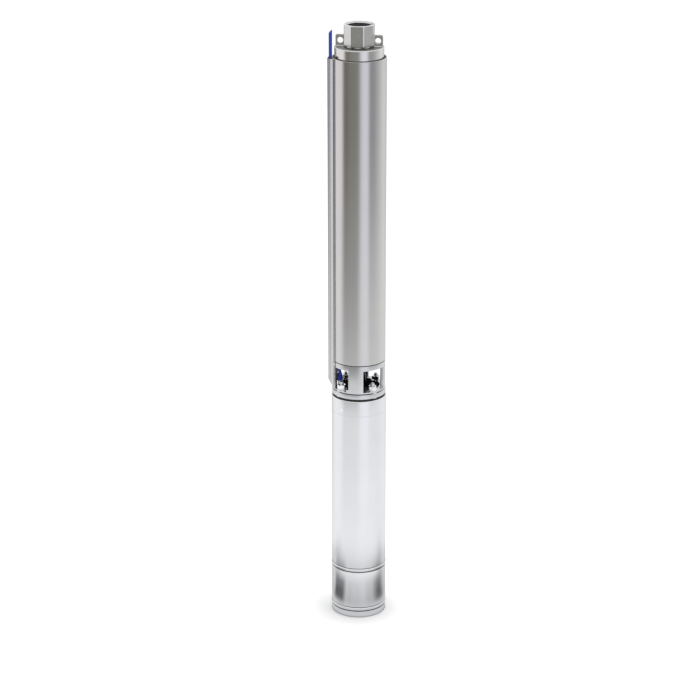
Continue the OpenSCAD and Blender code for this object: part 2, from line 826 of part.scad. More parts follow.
module chamber(i) {
    color(steel) translate([0, 0, pump_z + (i - 1) * stage_pitch]) {
        turned([
            [neck_hole_r, 0], [chamber_r, 0], [chamber_r, stage_pitch],
            [chamber_bore_r, stage_pitch], [chamber_bore_r, plate_t], [neck_hole_r, plate_t]
        ]);
        turned([
            [stage_seat_r, diffuser_z], [diffuser_r - edge, diffuser_z], [diffuser_r, diffuser_z + edge],
            [diffuser_r, diffuser_z + diffuser_t], [stage_boss_r, diffuser_z + diffuser_t],
            [stage_boss_r, stage_bush_z + stage_bush_h], [stage_seat_r, stage_bush_z + stage_bush_h]
        ]);
        arc_blades(
            return_vanes, return_vane_in_r, chamber_r - chamber_wall / 2, return_vane_t,
            diffuser_z + diffuser_t / 2, stage_pitch - edge - diffuser_z - diffuser_t / 2
        );
    }
}

module neck_rings() {
    color(black_rubber) for (i = stages) translate([0, 0, pump_z + (i - 1) * stage_pitch]) turned([
        [neck_ring_in_r, 0], [neck_ring_r, 0], [neck_ring_r, plate_t], [neck_flange_r, plate_t],
        [neck_flange_r, plate_t + neck_flange_h], [neck_ring_r, plate_t + neck_flange_h],
        [neck_ring_r, neck_ring_h], [neck_ring_in_r, neck_ring_h]
    ]);
}

module stage_bearings() {
    color(carbon) {
        for (i = stages) ring(
            stage_bush_in_r, stage_bush_r, pump_z + (i - 1) * stage_pitch + stage_bush_z, stage_bush_h
        );
        ring(stage_bush_in_r, stage_bush_r, stages_top_z + top_bush_z, top_bush_h);
    }
}

module top_chamber() {
    boss_z = top_bush_z - top_boss_margin;
    boss_h = top_bush_h + 2 * top_boss_margin;
    flange_z = top_chamber_h - top_flange_h;
    flange_in_r = skirt_bore_r - 6;
    color(steel) translate([0, 0, stages_top_z]) {
        turned([
            [chamber_bore_r, 0], [chamber_r, 0], [chamber_r, top_chamber_h], [flange_in_r, top_chamber_h],
            [flange_in_r, flange_z], [chamber_bore_r, flange_z]
        ]);
        ring(stage_seat_r, stage_boss_r, boss_z, boss_h);
        for (i = [0:spider_count - 1]) rotate([0, 0, i * 360 / spider_count])
            translate([stage_seat_r + 1, -spider_t / 2, spider_z])
                cube([chamber_bore_r + chamber_wall / 2 - stage_seat_r - 1, spider_t, spider_h]);
    }
}

module pump_sleeve() {
    color(satin_steel) turned([
        [sleeve_bore_r, sleeve_z], [sleeve_r - seam, sleeve_z], [sleeve_r, sleeve_z + seam],
        [sleeve_r, sleeve_top_z - seam], [sleeve_r - seam, sleeve_top_z], [sleeve_bore_r, sleeve_top_z]
    ]);
}

// Cable guard

// Outline of the guard's channel, drawn from inside the sleeve to its rounded top
module channel_outline(top_r, width, corner) {
    start = guard_r / 2;
    translate([start, -width / 2]) square([top_r - corner - start, width]);
    translate([start, corner - width / 2]) square([top_r - start, width - 2 * corner]);
    for (s = [-1, 1]) translate([top_r - corner, s * (width / 2 - corner)]) circle(r = corner);
}

module guard_section() {
    far = 2 * guard_r;
    reach = far * tan(guard_half_angle);
    difference() {
        union() {
            intersection() {
                circle(r = guard_r + guard_t);
                polygon([[0, 0], [far, -reach], [far, reach]]);
            }
            channel_outline(guard_top_r, guard_w, guard_corner);
        }
        circle(r = guard_r);
        channel_outline(guard_top_r - guard_t, guard_w - 2 * guard_t, guard_corner - guard_t);
    }
}

module cable_guard() {
    lean = guard_slant_h / (guard_top_r - guard_r);
    near = guard_r - 5;
    far = guard_top_r + 5;
    low = guard_z - guard_slant_h;
    color(satin_steel) difference() {
        rotate([0, 0, guard_polar]) difference() {
            translate([0, 0, guard_z]) linear_extrude(height = sleeve_top_z - guard_z) guard_section();
            rotate([90, 0, 0]) linear_extrude(height = 3 * guard_w, center = true) polygon([
                [near, low], [far, low], [far, guard_z + (far - guard_r) * lean],
                [guard_r, guard_z], [near, guard_z - edge]
            ]);
        }
        for (s = [-1, 1])
            radial_bar(guard_polar + s * screw_angle, guard_r - 1, guard_r + 3, screw_r + seat_gap, screw_z);
    }
}

module guard_screws() {
    head_r = guard_r + guard_t;
    color(bright_steel) for (s = [-1, 1]) {
        polar = guard_polar + s * screw_angle;
        radial_bar(polar, bracket_r - screw_depth, head_r + screw_head_h / 2, screw_r, screw_z);
        radial_bar(polar, head_r, head_r + screw_head_h, screw_head_r, screw_z);
    }
}

// Discharge head

module discharge_head() {
    lean = 1 / cos(22.5);
    low_r = port_af / 2 - port_chamfer;
    color(satin_steel) {
        turned([
            [skirt_bore_r, head_z], [skirt_r, head_z], [skirt_r, shoulder_top_z], [neck_r, shoulder_top_z],
            [neck_r, neck_top_z - edge], [neck_r - edge, neck_top_z], [throat_r, neck_top_z],
            [throat_r, throat_z], [head_bore_r, dome_z], [head_bore_r, guide_ring_z],
            [skirt_bore_r, guide_ring_z]
        ]);
        translate([0, 0, neck_top_z]) difference() {
            union() {
                cylinder(r = low_r - port_foot_step, h = port_foot_h + port_chamfer);
                rotate([0, 0, 22.5]) intersection() {
                    cylinder(r = port_r, h = port_h + 1, $fn = 8);
                    translate([0, 0, port_foot_h])
                        cylinder(r1 = low_r * lean, r2 = (low_r + port_h) * lean, h = port_h, $fn = 8);
                    translate([0, 0, port_edge - port_af])
                        cylinder(
                            r1 = (port_af / 2 - 2 * port_edge + port_h + port_af) * lean,
                            r2 = (port_af / 2 - port_edge) * lean, h = port_h + port_af - port_edge, $fn = 8
                        );
                }
            }
            translate([0, 0, -1]) cylinder(r = throat_r, h = port_h + 2);
            translate([0, 0, port_h - outlet_mouth_h - outlet_depth]) cylinder(r = outlet_r, h = port_h);
            translate([0, 0, port_h - outlet_mouth_h])
                cylinder(r1 = outlet_r, r2 = outlet_r + 2 * outlet_mouth_w, h = 2 * outlet_mouth_h);
        }
    }
}

// Rubber ring that closes the gap between the neck and the sleeve's rim
module head_ring() {
    color(black_rubber) ring(neck_r + seat_gap, sleeve_bore_r - seat_gap, shoulder_top_z, sleeve_rim_h);
}

module rope_eyes() {
    width = eye_reach - port_af / 2;
    color(satin_steel) for (s = [0, 180]) rotate([0, 0, s]) difference() {
        translate([port_af / 2, eye_t / 2, neck_top_z]) rotate([90, 0, 0]) linear_extrude(height = eye_t) {
            square([width, eye_h - eye_corner]);
            square([width - eye_corner, eye_h]);
            translate([width - eye_corner, eye_h - eye_corner]) circle(r = eye_corner);
        }
        translate([eye_hole_x, eye_t, eye_hole_z]) rotate([90, 0, 0]) cylinder(d = eye_hole_d, h = 2 * eye_t);
    }
}

// Non-return valve in the head

module valve_seat() {
    color(steel) turned([
        [seat_r, head_z], [seat_out_r, head_z],
        [seat_out_r, seat_plate_z], [seat_r + seat_lip_w, seat_plate_z],
        [seat_r + seat_lip_w, seat_lip_z], [seat_r, seat_lip_z]
    ]);
}

module valve_guide() {
    arm_z = guide_hub_z;
    color(dark_steel) difference() {
        union() {
            ring(guide_leg_in_r, seat_out_r, seat_plate_z, guide_ring_h);
            translate([0, 0, guide_hub_z]) cylinder(r = guide_hub_r, h = guide_hub_h);
            intersection() {
                for (i = [0:guide_leg_count - 1]) rotate([0, 0, i * 360 / guide_leg_count])
                    translate([0, -guide_leg_w / 2, seat_plate_z]) difference() {
                        cube([guide_leg_r, guide_leg_w, arm_z + guide_arm_h - seat_plate_z]);
                        translate([-1, -1, -1])
                            cube([guide_leg_in_r + 1, guide_leg_w + 2, arm_z - seat_plate_z + 1]);
                    }
                cylinder(r = guide_leg_r, h = port_top_z);
            }
        }
        translate([0, 0, guide_hub_z - 1]) cylinder(r = stem_r + running_gap, h = guide_hub_h + 2);
    }
}

module valve_cone() {
    rim_in_r = seal_ring_r + seat_gap;
    nose_z = disc_z - seal_ring_h - seat_lip_h - nose_drop;
    color(steel) turned([
        [0, disc_z - nose_wall], [nose_r - nose_wall, disc_z - nose_wall], [nose_r - nose_wall, nose_z],
        [nose_r, nose_z], [nose_r, disc_z], [rim_in_r, disc_z], [rim_in_r, disc_z - seal_ring_h + edge],
        [disc_r, disc_z - seal_ring_h + edge], [disc_r, disc_z + disc_h], [spring_seat_r, disc_z + disc_h],
        [spring_seat_r, spring_seat_z], [stem_r, spring_seat_z], [stem_r, stem_top_z - edge],
        [stem_r - edge, stem_top_z], [0, stem_top_z]
    ]);
}

module valve_seal() {
    color(black_rubber) ring(seal_ring_in_r, seal_ring_r, seat_lip_z, seal_ring_h);
}

module valve_spring() {
    wire_r = spring_wire / 2;
    steps = 14;
    sides = 8;
    rise = spring_length - spring_wire - 2 * seat_gap;
    rings = spring_turns * steps;
    route = [for (i = [0:rings]) let (a = i * 360 / steps) [
        spring_mean_r * cos(a), spring_mean_r * sin(a),
        spring_seat_z + seat_gap + wire_r + rise * i / rings
    ]];
    corners = [for (i = [0:rings], k = [0:sides - 1])
        ring_corner(route, i, wire_r, [0, 0, 1], k * 360 / sides)];
    color(bright_steel) polyhedron(points = corners, faces = tube_faces(rings + 1, sides));
}

// Rotor: everything that turns with the motor's shaft

module motor_shaft() {
    color(steel) turned([
        [0, thrust_disc_z], [thrust_stub_r, thrust_disc_z], [thrust_stub_r, thrust_top_z],
        [journal_r, thrust_top_z], [journal_r, shoulder_z], [extension_r, shoulder_z],
        [extension_r, extension_top_z - edge], [extension_r - edge, extension_top_z], [0, extension_top_z]
    ]);
}

module rotor_core() {
    color(dark_steel) turned([
        [journal_r + seat_gap, core_z - cage_ring_h],
        [cage_ring_r, core_z - cage_ring_h], [cage_ring_r, core_z],
        [rotor_r, core_z], [rotor_r, core_z + core_h], [cage_ring_r, core_z + core_h],
        [cage_ring_r, core_z + core_h + cage_ring_h], [journal_r + seat_gap, core_z + core_h + cage_ring_h]
    ]);
}

module thrust_disc() {
    color(dark_steel) ring(thrust_stub_r + seat_gap, thrust_disc_r, thrust_disc_z, thrust_disc_h);
}

module sand_slinger() {
    lip_h = 1.5;
    hub_wall = 4;
    color(black_rubber) turned([
        [extension_r + seat_gap, slinger_z], [slinger_r, slinger_z], [slinger_r, slinger_z + lip_h],
        [extension_r + hub_wall, slinger_z + slinger_h], [extension_r + seat_gap, slinger_z + slinger_h]
    ]);
}

module shaft_coupling() {
    mid_z = (coupling_z + coupling_top_z) / 2;
    color(dark_steel) turned([
        [extension_r + seat_gap, coupling_z],
        [coupling_r - edge, coupling_z], [coupling_r, coupling_z + edge],
        [coupling_r, mid_z - coupling_groove_h / 2],
        [coupling_r - coupling_groove, mid_z - coupling_groove_h / 3],
        [coupling_r - coupling_groove, mid_z + coupling_groove_h / 3],
        [coupling_r, mid_z + coupling_groove_h / 2],
        [coupling_r, coupling_top_z - edge], [coupling_r - edge, coupling_top_z],
        [extension_r + seat_gap, coupling_top_z]
    ]);
}

module pump_shaft() {
    collar_z = coupling_top_z;
    hex_z = pump_z + hub_start;
    hex_top_z = stages_top_z + hub_start;
    color(steel) {
        translate([0, 0, extension_top_z]) cylinder(r = extension_r, h = collar_z - extension_top_z + edge);
        translate([0, 0, collar_z]) cylinder(r = hub_r, h = hex_z - collar_z);
        translate([0, 0, hex_z - edge])
            cylinder(r = shaft_af / 2 / cos(30), h = hex_top_z - hex_z + edge, $fn = 6);
        translate([0, 0, hex_top_z - edge]) cylinder(r = shaft_stub_r, h = shaft_stub_h + edge);
    }
}

module impeller(i) {
    rim_r = impeller_r;
    bore_r = (shaft_af / 2 + seat_gap) / cos(30);
    color(steel) translate([0, 0, pump_z + (i - 1) * stage_pitch]) {
        // Front shroud with the eye
        turned([
            [eye_in_r, passing_gap], [eye_r, passing_gap], [eye_r, front_z], [rim_r, front_z + front_rise],
            [rim_r, front_z + front_rise + shroud_t], [eye_in_r, front_z + shroud_t]
        ]);
        // Back shroud and hub
        difference() {
            turned([
                [0, hub_start], [hub_r, hub_start], [hub_r, back_z], [rim_r, back_z + back_rise],
                [rim_r, back_z + back_rise + shroud_t], [hub_r, back_z + back_t],
                [hub_r, hub_start + stage_pitch], [0, hub_start + stage_pitch]
            ]);
            translate([0, 0, hub_start - 1]) cylinder(r = bore_r, h = stage_pitch + 2, $fn = 6);
        }
        // Vanes, trimmed to the passage between the shrouds
        intersection() {
            arc_blades(impeller_vanes, vane_in_r, rim_r - shroud_t / 4, vane_t, front_z, back_z + back_rise);
            turned([
                [vane_in_r - 1, back_z - 2], [eye_in_r + shroud_t / 2, front_z + shroud_t / 2],
                [rim_r, front_z + front_rise + shroud_t / 2], [rim_r, back_z + back_rise + shroud_t / 2],
                [vane_in_r - 1, back_z + back_t / 2]
            ]);
        }
    }
}

module shaft_nut() {
    start_z = stages_top_z + hub_start;
    color(steel) difference() {
        union() {
            translate([0, 0, start_z]) cylinder(r = hub_r, h = nut_journal_h);
            translate([0, 0, start_z + nut_journal_h - edge])
                cylinder(r = shaft_nut_r, h = shaft_nut_h + edge, $fn = 6);
        }
        translate([0, 0, start_z - 1])
            cylinder(r = shaft_stub_r + seat_gap, h = nut_journal_h + 1 + shaft_nut_h + edge);
    }
}

base_cover();
diaphragm();
thrust_housing();
thrust_carrier();
thrust_pads();
lower_end_bell();
motor_bearings();
motor_shell();
stator_core();
stator_windings();
motor_top_bell();
fill_plug();
shaft_seal();
motor_gasket();
lead_connector();
lead_boot();
motor_lead();
suction_interconnector();
motor_studs();
stud_washers();
stud_nuts();
for (i = stages) chamber(i);
neck_rings();
stage_bearings();
top_chamber();
pump_sleeve();
cable_guard();
guard_screws();
discharge_head();
head_ring();
rope_eyes();
valve_seat();
valve_guide();
motor_shaft();
rotor_core();
thrust_disc();
sand_slinger();
shaft_coupling();
pump_shaft();
for (i = stages) impeller(i);
shaft_nut();
valve_cone();
valve_seal();
valve_spring();
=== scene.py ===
# Borehole submersible pump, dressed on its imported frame.
# The scene is in metres and the sizes below are in millimetres, with +Z up the shaft and the origin at the
# centre of the base.
import math

import bmesh
import bpy
from mathutils import Matrix, Vector


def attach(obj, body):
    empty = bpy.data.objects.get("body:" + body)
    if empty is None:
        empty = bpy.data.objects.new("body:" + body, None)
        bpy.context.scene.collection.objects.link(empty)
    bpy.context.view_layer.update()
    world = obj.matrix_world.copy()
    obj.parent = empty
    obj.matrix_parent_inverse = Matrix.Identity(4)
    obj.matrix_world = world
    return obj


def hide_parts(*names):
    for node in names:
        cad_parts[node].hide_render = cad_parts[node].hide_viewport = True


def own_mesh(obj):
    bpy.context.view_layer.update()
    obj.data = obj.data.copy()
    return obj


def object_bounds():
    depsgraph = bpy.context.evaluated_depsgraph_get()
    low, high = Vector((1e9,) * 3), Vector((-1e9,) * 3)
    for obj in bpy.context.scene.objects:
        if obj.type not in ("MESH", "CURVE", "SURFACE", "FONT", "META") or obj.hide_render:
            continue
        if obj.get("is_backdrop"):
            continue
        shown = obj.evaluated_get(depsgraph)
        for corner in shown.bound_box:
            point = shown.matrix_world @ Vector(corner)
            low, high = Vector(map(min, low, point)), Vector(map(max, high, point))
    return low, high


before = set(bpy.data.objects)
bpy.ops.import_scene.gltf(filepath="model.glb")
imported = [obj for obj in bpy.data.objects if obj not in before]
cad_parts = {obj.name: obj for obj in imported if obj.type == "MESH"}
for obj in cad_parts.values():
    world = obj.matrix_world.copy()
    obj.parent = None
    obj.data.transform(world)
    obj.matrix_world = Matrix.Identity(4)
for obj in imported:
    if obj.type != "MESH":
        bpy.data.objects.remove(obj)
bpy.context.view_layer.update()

# Camera
# A long studio lens on a tripod, a little to the right of the pump's front and looking down on it.
# The pump stands slightly right of the middle of the picture.
camera_azimuth = math.radians(7.0)
camera_distance = 4.119
camera_height = 1.934
camera_tilt = math.radians(19.3)
camera_pan = math.radians(0.2165)

lens = bpy.data.cameras.new("studio_camera")
lens.lens = 128.57
lens.sensor_width = 36.0
camera = bpy.data.objects.new("studio_camera", lens)
camera.location = (
    camera_distance * math.sin(camera_azimuth),
    -camera_distance * math.cos(camera_azimuth),
    camera_height,
)
camera.rotation_euler = (math.pi / 2 - camera_tilt, 0.0, camera_azimuth + camera_pan)
bpy.context.scene.collection.objects.link(camera)
bpy.context.scene.camera = camera

# Base cover
# The cup that closes the foot of the motor: turned stainless steel, polished outside, with a rolled bead
# round its upper edge and four vent holes in its bottom plate. It is pressed into the thrust housing.

# Edges that turn by more degrees than this are shaded as real edges
real_edge = 32.0


def eased(corners, steps=4):
    """The points of a half section in mm, from corners of (radius, height) or (radius, height, rounding)."""
    points = []
    for i, corner in enumerate(corners):
        here = Vector(corner[:2])
        if len(corner) == 2:
            points.append(here)
            continue
        back = (Vector(corners[i - 1][:2]) - here).normalized()
        on = (Vector(corners[(i + 1) % len(corners)][:2]) - here).normalized()
        half = back.angle(on) / 2
        centre = here + (back + on).normalized() * corner[2] / math.sin(half)
        start = here + back * corner[2] / math.tan(half) - centre
        turn = start.angle_signed(here + on * corner[2] / math.tan(half) - centre)
        for k in range(steps + 1):
            points.append(centre + Matrix.Rotation(-turn * k / steps, 2) @ start)
    return points


def finish_shell(name, shell, crease=real_edge):
    """Turns a closed bmesh in mm into an object in metres, smooth but for its real edges."""
    bmesh.ops.recalc_face_normals(shell, faces=shell.faces)
    bmesh.ops.scale(shell, vec=Vector((0.001, 0.001, 0.001)), verts=shell.verts)
    mesh = bpy.data.meshes.new(name)
    shell.to_mesh(mesh)
    shell.free()
    mesh.shade_smooth()
    mesh.set_sharp_from_angle(angle=math.radians(crease))
    piece = bpy.data.objects.new(name, mesh)
    bpy.context.scene.collection.objects.link(piece)
    return piece


def on_circle(radius, polar, height):
    """The point in mm at a radius, a direction in degrees from +X and a height."""
    angle = math.radians(polar)
    return Vector((radius * math.cos(angle), radius * math.sin(angle), height))


def turn_on_lathe(name, corners, facets=180, directions=None):
    """A closed solid about Z from its half section in mm, round or with corners in these directions."""
    shell = bmesh.new()
    if directions is None:
        directions = [360 * k / facets for k in range(facets)]
    facets = len(directions)
    rings = []
    for radius, height in eased(corners):
        around = directions if radius > 1e-6 else directions[:1]
        rings.append([shell.verts.new(on_circle(radius, a, height)) for a in around])
    for low, high in zip(rings, rings[1:] + rings[:1]):
        if len(low) == len(high) == 1:
            continue
        for k in range(facets):
            on = (k + 1) % facets
            corner_verts = [low[k % len(low)], low[on % len(low)], high[on % len(high)], high[k % len(high)]]
            shell.faces.new(list(dict.fromkeys(corner_verts)))
    return finish_shell(name, shell)


def round_bar(radius, start, end, sides=48):
    """A straight round or many sided bar between two points in mm, used as a drill or a key."""
    shell = bmesh.new()
    way = end - start
    place = Matrix.Translation((start + end) / 2) @ way.to_track_quat("Z", "Y").to_matrix().to_4x4()
    bmesh.ops.create_cone(
        shell, cap_ends=True, segments=sides, radius1=radius, radius2=radius, depth=way.length, matrix=place
    )
    return finish_shell("tool", shell)


def upright_bars(radius, circle_r, polars, low, high):
    """Upright round bars in mm, set round a circle in these directions, used as drills or bosses."""
    return [round_bar(radius, on_circle(circle_r, a, low), on_circle(circle_r, a, high)) for a in polars]


def bake(piece):
    """Applies a piece's modifiers to its mesh."""
    bpy.context.view_layer.update()
    graph = bpy.context.evaluated_depsgraph_get()
    mesh = bpy.data.meshes.new_from_object(piece.evaluated_get(graph))
    rough_mesh = piece.data
    piece.modifiers.clear()
    piece.data = mesh
    bpy.data.meshes.remove(rough_mesh)
    mesh.name = piece.name


def machine(piece, tools, operation="DIFFERENCE"):
    """Cuts tools out of a piece, or joins them to it, and removes the tools."""
    for tool in tools:
        step = piece.modifiers.new("machining", "BOOLEAN")
        step.operation = operation
        step.solver = "EXACT"
        step.object = tool
    bake(piece)
    for tool in tools:
        bpy.data.meshes.remove(tool.data)
    piece.data.set_sharp_from_angle(angle=math.radians(real_edge))


def add_node(tree, kind, settings=(), links=()):
    """Adds a node, sets its properties and sockets, and links its inputs to other nodes' outputs."""
    node = tree.nodes.new(kind)
    for name, value in dict(settings).items():
        if isinstance(name, int) or name in node.inputs:
            node.inputs[name].default_value = value
        else:
            setattr(node, name, value)
    for name, source in dict(links).items():
        tree.links.new(source, node.inputs[name])
    return node


def linear(hex_colour):
    """The linear colour of an sRGB hex value."""
    shares = [int(hex_colour[i:i + 2], 16) / 255 for i in (0, 2, 4)]
    return tuple(s / 12.92 if s <= 0.04045 else ((s + 0.055) / 1.055) ** 2.4 for s in shares) + (1.0,)


def start_material(name, settings):
    """A new material with these values on its shader, then that shader and the piece's own coordinates."""
    material = bpy.data.materials.new(name)
    material.use_nodes = True
    shader = material.node_tree.nodes["Principled BSDF"]
    for socket, value in settings.items():
        shader.inputs[socket].default_value = value
    return material, shader, add_node(material.node_tree, "ShaderNodeTexCoord").outputs["Object"]


def stainless(name, tone, worn_tone, roughness, spread, line_mm, line_depth, cloud_mm, stretch):
    """Stainless steel with tool marks round its axis: cloudy tone, uneven polish and fine turned lines.

    The lines are line_mm apart and run on for about stretch times that, and the clouds are cloud_mm wide.
    """
    material, shader, place = start_material(name, {"Metallic": 1.0})
    tree = material.node_tree
    clouds = add_node(
        tree, "ShaderNodeTexNoise", {"Scale": 1000.0 / cloud_mm, "Detail": 3.0, "Roughness": 0.55},
        {"Vector": place},
    )
    tint = add_node(
        tree, "ShaderNodeMix", {"data_type": "RGBA", 6: linear(tone), 7: linear(worn_tone)},
        {"Factor": clouds.outputs["Fac"]},
    )
    tree.links.new(tint.outputs[2], shader.inputs["Base Color"])
    line_scale = 1000.0 / line_mm
    along = add_node(
        tree, "ShaderNodeMapping", {"Scale": (line_scale / stretch, line_scale / stretch, line_scale)},
        {"Vector": place},
    )
    lines = add_node(
        tree, "ShaderNodeTexNoise", {"Scale": 1.0, "Detail": 2.0, "Roughness": 0.6},
        {"Vector": along.outputs["Vector"]},
    )
    both = add_node(
        tree, "ShaderNodeMath", {"operation": "MULTIPLY_ADD", 1: 0.6},
        {0: lines.outputs["Fac"], 2: clouds.outputs["Fac"]},
    )
    polish = add_node(
        tree, "ShaderNodeMapRange",
        {"From Min": 0.45, "From Max": 1.15, "To Min": roughness - spread, "To Max": roughness + spread},
        {"Value": both.outputs["Value"]},
    )
    tree.links.new(polish.outputs["Result"], shader.inputs["Roughness"])
    marks = add_node(
        tree, "ShaderNodeBump", {"Strength": line_depth, "Distance": 0.0001}, {"Height": lines.outputs["Fac"]}
    )
    tree.links.new(marks.outputs["Normal"], shader.inputs["Normal"])
    return material


# Bright annealed stainless tube, polished on a belt: nearly a mirror, with faint lines round the tube.
# The lines are drawn 2 mm apart, coarser than the real ones, so that they show at all.
polished_steel = stainless(
    "polished_stainless_tube", "F0F1F3", "E8E9EC", roughness=0.19, spread=0.03,
    line_mm=2.0, line_depth=0.05, cloud_mm=60.0, stretch=60.0,
)

vent_r = 2.5
vent_circle_r = 18
cover = turn_on_lathe("base_cover_cup", [
    (0, 0), (46.4, 0, 0.5), (48, 1.4, 0.8), (48, 11.7, 0.2), (47.3, 11.9), (47.3, 13.0), (48.6, 14.0, 0.9),
    (48.6, 17.7, 0.9), (47.6, 18.7), (47.6, 19.0), (46.4, 19), (46.4, 23), (42, 23), (42, 4, 2.0), (0, 4),
])
machine(cover, upright_bars(vent_r, vent_circle_r, (0, 90, 180, 270), -1, 6))
cover.data.materials.append(polished_steel)
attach(cover, "housing")
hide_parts("base_cover")

# Thrust housing
# The lower can of the motor, a polished stainless tube with a welded web that carries the thrust bearing.
# It stands on the base cover's bead, and four oil holes go through the web.
quarter_polars = (45, 135, 225, 315)
oil_hole_r = 3
oil_circle_r = 40
can = turn_on_lathe("thrust_housing_can", [
    (46.5, 19), (47.2, 19), (47.2, 19.8), (48, 20.1), (48, 87.4, 0.2), (47.3, 87.6), (47.3, 88.5),
    (46.5, 88.5), (46.5, 58.2), (8, 58.2), (8, 52.2), (46.5, 52.2), (46.5, 27), (42, 27), (42, 25),
    (46.5, 25),
])
machine(can, upright_bars(oil_hole_r, oil_circle_r, quarter_polars, 50, 60))
can.data.materials.append(polished_steel)
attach(can, "housing")
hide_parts("thrust_housing")

# Lower end bell
# The ring between the thrust housing and the shell: turned stainless steel, with a rolled bead outside,
# a spigot each way, and a hub that holds the lower bearing bush.
passage_r = 6
passage_circle_r = 31.5
bell = turn_on_lathe("lower_end_bell_ring", [
    (13, 86.5), (42, 86.5), (42, 80.5), (46.4, 80.5), (46.4, 88.5), (47.6, 88.5), (47.6, 88.8),
    (48.6, 89.8, 0.9), (48.6, 93.2, 0.9), (47.6, 94.2), (47.6, 94.5), (46.4, 94.5), (46.4, 106.5),
    (42, 106.5), (42, 94.5), (21.05, 94.5), (21.05, 124.5), (16.05, 124.5), (16.05, 94.5), (13, 94.5),
])
machine(bell, upright_bars(passage_r, passage_circle_r, quarter_polars, 85, 96))
bell.data.materials.append(polished_steel)
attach(bell, "housing")
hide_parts("lower_end_bell")

# Thrust bearing and motor bearings
# A steel carrier holds six carbon graphite pads under a hardened disc, and two plain carbon bushes guide the
# shaft. They run in the motor's filling, so the carbon is smooth, dark and a little shiny.


def patchy(name, tones, roughness, patch_mm, detail, settings, grain=None):
    """A material whose tone and roughness vary together, in soft patches of a size in mm.

    A raised grain, where there is one, is given by its size in mm, its strength and its height in mm.
    """
    material, shader, place = start_material(name, settings)
    tree = material.node_tree
    patches = add_node(
        tree, "ShaderNodeTexNoise", {"Scale": 1000.0 / patch_mm, "Detail": detail}, {"Vector": place}
    )
    tint = add_node(
        tree, "ShaderNodeMix", {"data_type": "RGBA", 6: linear(tones[0]), 7: linear(tones[1])},
        {"Factor": patches.outputs["Fac"]},
    )
    tree.links.new(tint.outputs[2], shader.inputs["Base Color"])
    polish = add_node(
        tree, "ShaderNodeMapRange", {"To Min": roughness[0], "To Max": roughness[1]},
        {"Value": patches.outputs["Fac"]},
    )
    tree.links.new(polish.outputs["Result"], shader.inputs["Roughness"])
    if grain:
        grain_mm, strength, height_mm = grain
        relief = add_node(
            tree, "ShaderNodeTexNoise", {"Scale": 1000.0 / grain_mm, "Detail": 2.0}, {"Vector": place}
        )
        skin = add_node(
            tree, "ShaderNodeBump", {"Strength": strength, "Distance": height_mm * 0.001},
            {"Height": relief.outputs["Fac"]},
        )
        tree.links.new(skin.outputs["Normal"], shader.inputs["Normal"])
    return material


# Pressed grain of about half a millimetre, drawn at 0.8 mm
carbon = patchy(
    "carbon_graphite", ("1E1F21", "3A3B3E"), roughness=(0.32, 0.5), patch_mm=0.8, detail=2.0,
    settings={"Metallic": 0.15},
)
# Bearing and shaft steel, ground after turning: grey, with fine lines a millimetre apart
turned_steel = stainless(
    "ground_shaft_steel", "B9BABD", "A4A6AA", roughness=0.22, spread=0.05,
    line_mm=1.0, line_depth=0.1, cloud_mm=25.0, stretch=40.0,
)


def dress(material, *nodes):
    """Gives CAD nodes that stay in view their material."""
    for name in nodes:
        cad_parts[name].data.materials.clear()
        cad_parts[name].data.materials.append(material)


dress(carbon, "thrust_pads", "motor_bearings", "stage_bearings")
dress(turned_steel, "thrust_carrier", "thrust_disc", "motor_shaft", "pump_shaft", "shaft_nut")

# Diaphragm and shaft seal
# Moulded nitrile rubber: a cap that evens out the pressure of the filling, and a lip seal round the shaft.
# Matt black: the moulded grain of 0.4 mm is drawn at 0.7 mm, and a dull bloom lies in patches of 12 mm.
rubber = patchy(
    "moulded_nitrile_rubber", ("101011", "1C1C1E"), roughness=(0.55, 0.78), patch_mm=12.0, detail=3.0,
    settings={}, grain=(0.7, 0.25, 0.2),
)
dress(rubber, "diaphragm", "shaft_seal", "neck_rings", "valve_seal")

# Stator and rotor
# Stacks of thin electrical sheet, with enamelled copper wire wound through the stator's slots and a cast
# cage in the rotor. The sheets show as fine lines round the stacks.


def banded(name, tones, band_mm, waver, detail, settings, relief=None):
    """A material with fine lines across Z, a width in mm apart.

    Lines that stand out, as wire does, are given by their strength and their height in mm.
    """
    material, shader, place = start_material(name, settings)
    tree = material.node_tree
    # At a scale of 1 the bands lie pi / 10 apart
    scale = math.pi / 10 / (band_mm * 0.001)
    lines = add_node(
        tree, "ShaderNodeTexWave",
        {"bands_direction": "Z", "Scale": scale, "Distortion": waver, "Detail": detail}, {"Vector": place},
    )
    tint = add_node(
        tree, "ShaderNodeMix", {"data_type": "RGBA", 6: linear(tones[0]), 7: linear(tones[1])},
        {"Factor": lines.outputs["Fac"]},
    )
    tree.links.new(tint.outputs[2], shader.inputs["Base Color"])
    if relief:
        strength, height_mm = relief
        skin = add_node(
            tree, "ShaderNodeBump", {"Strength": strength, "Distance": height_mm * 0.001},
            {"Height": lines.outputs["Fac"]},
        )
        tree.links.new(skin.outputs["Normal"], shader.inputs["Normal"])
    return material


# Sheets of 0.5 mm, drawn 1.5 mm thick so that they show
lamination = banded(
    "laminated_electrical_sheet", ("3D3E41", "77797D"), band_mm=1.5, waver=0.4, detail=1.0,
    settings={"Metallic": 0.85, "Roughness": 0.42},
)
# Wire of 1 mm, drawn 1.6 mm thick
winding = banded(
    "enamelled_copper_wire", ("7A3B1B", "C9814D"), band_mm=1.6, waver=2.5, detail=2.0,
    settings={"Metallic": 0.9, "Roughness": 0.33, "Coat Weight": 0.4}, relief=(0.5, 0.4),
)
dress(lamination, "stator_core", "rotor_core")
dress(winding, "stator_windings")

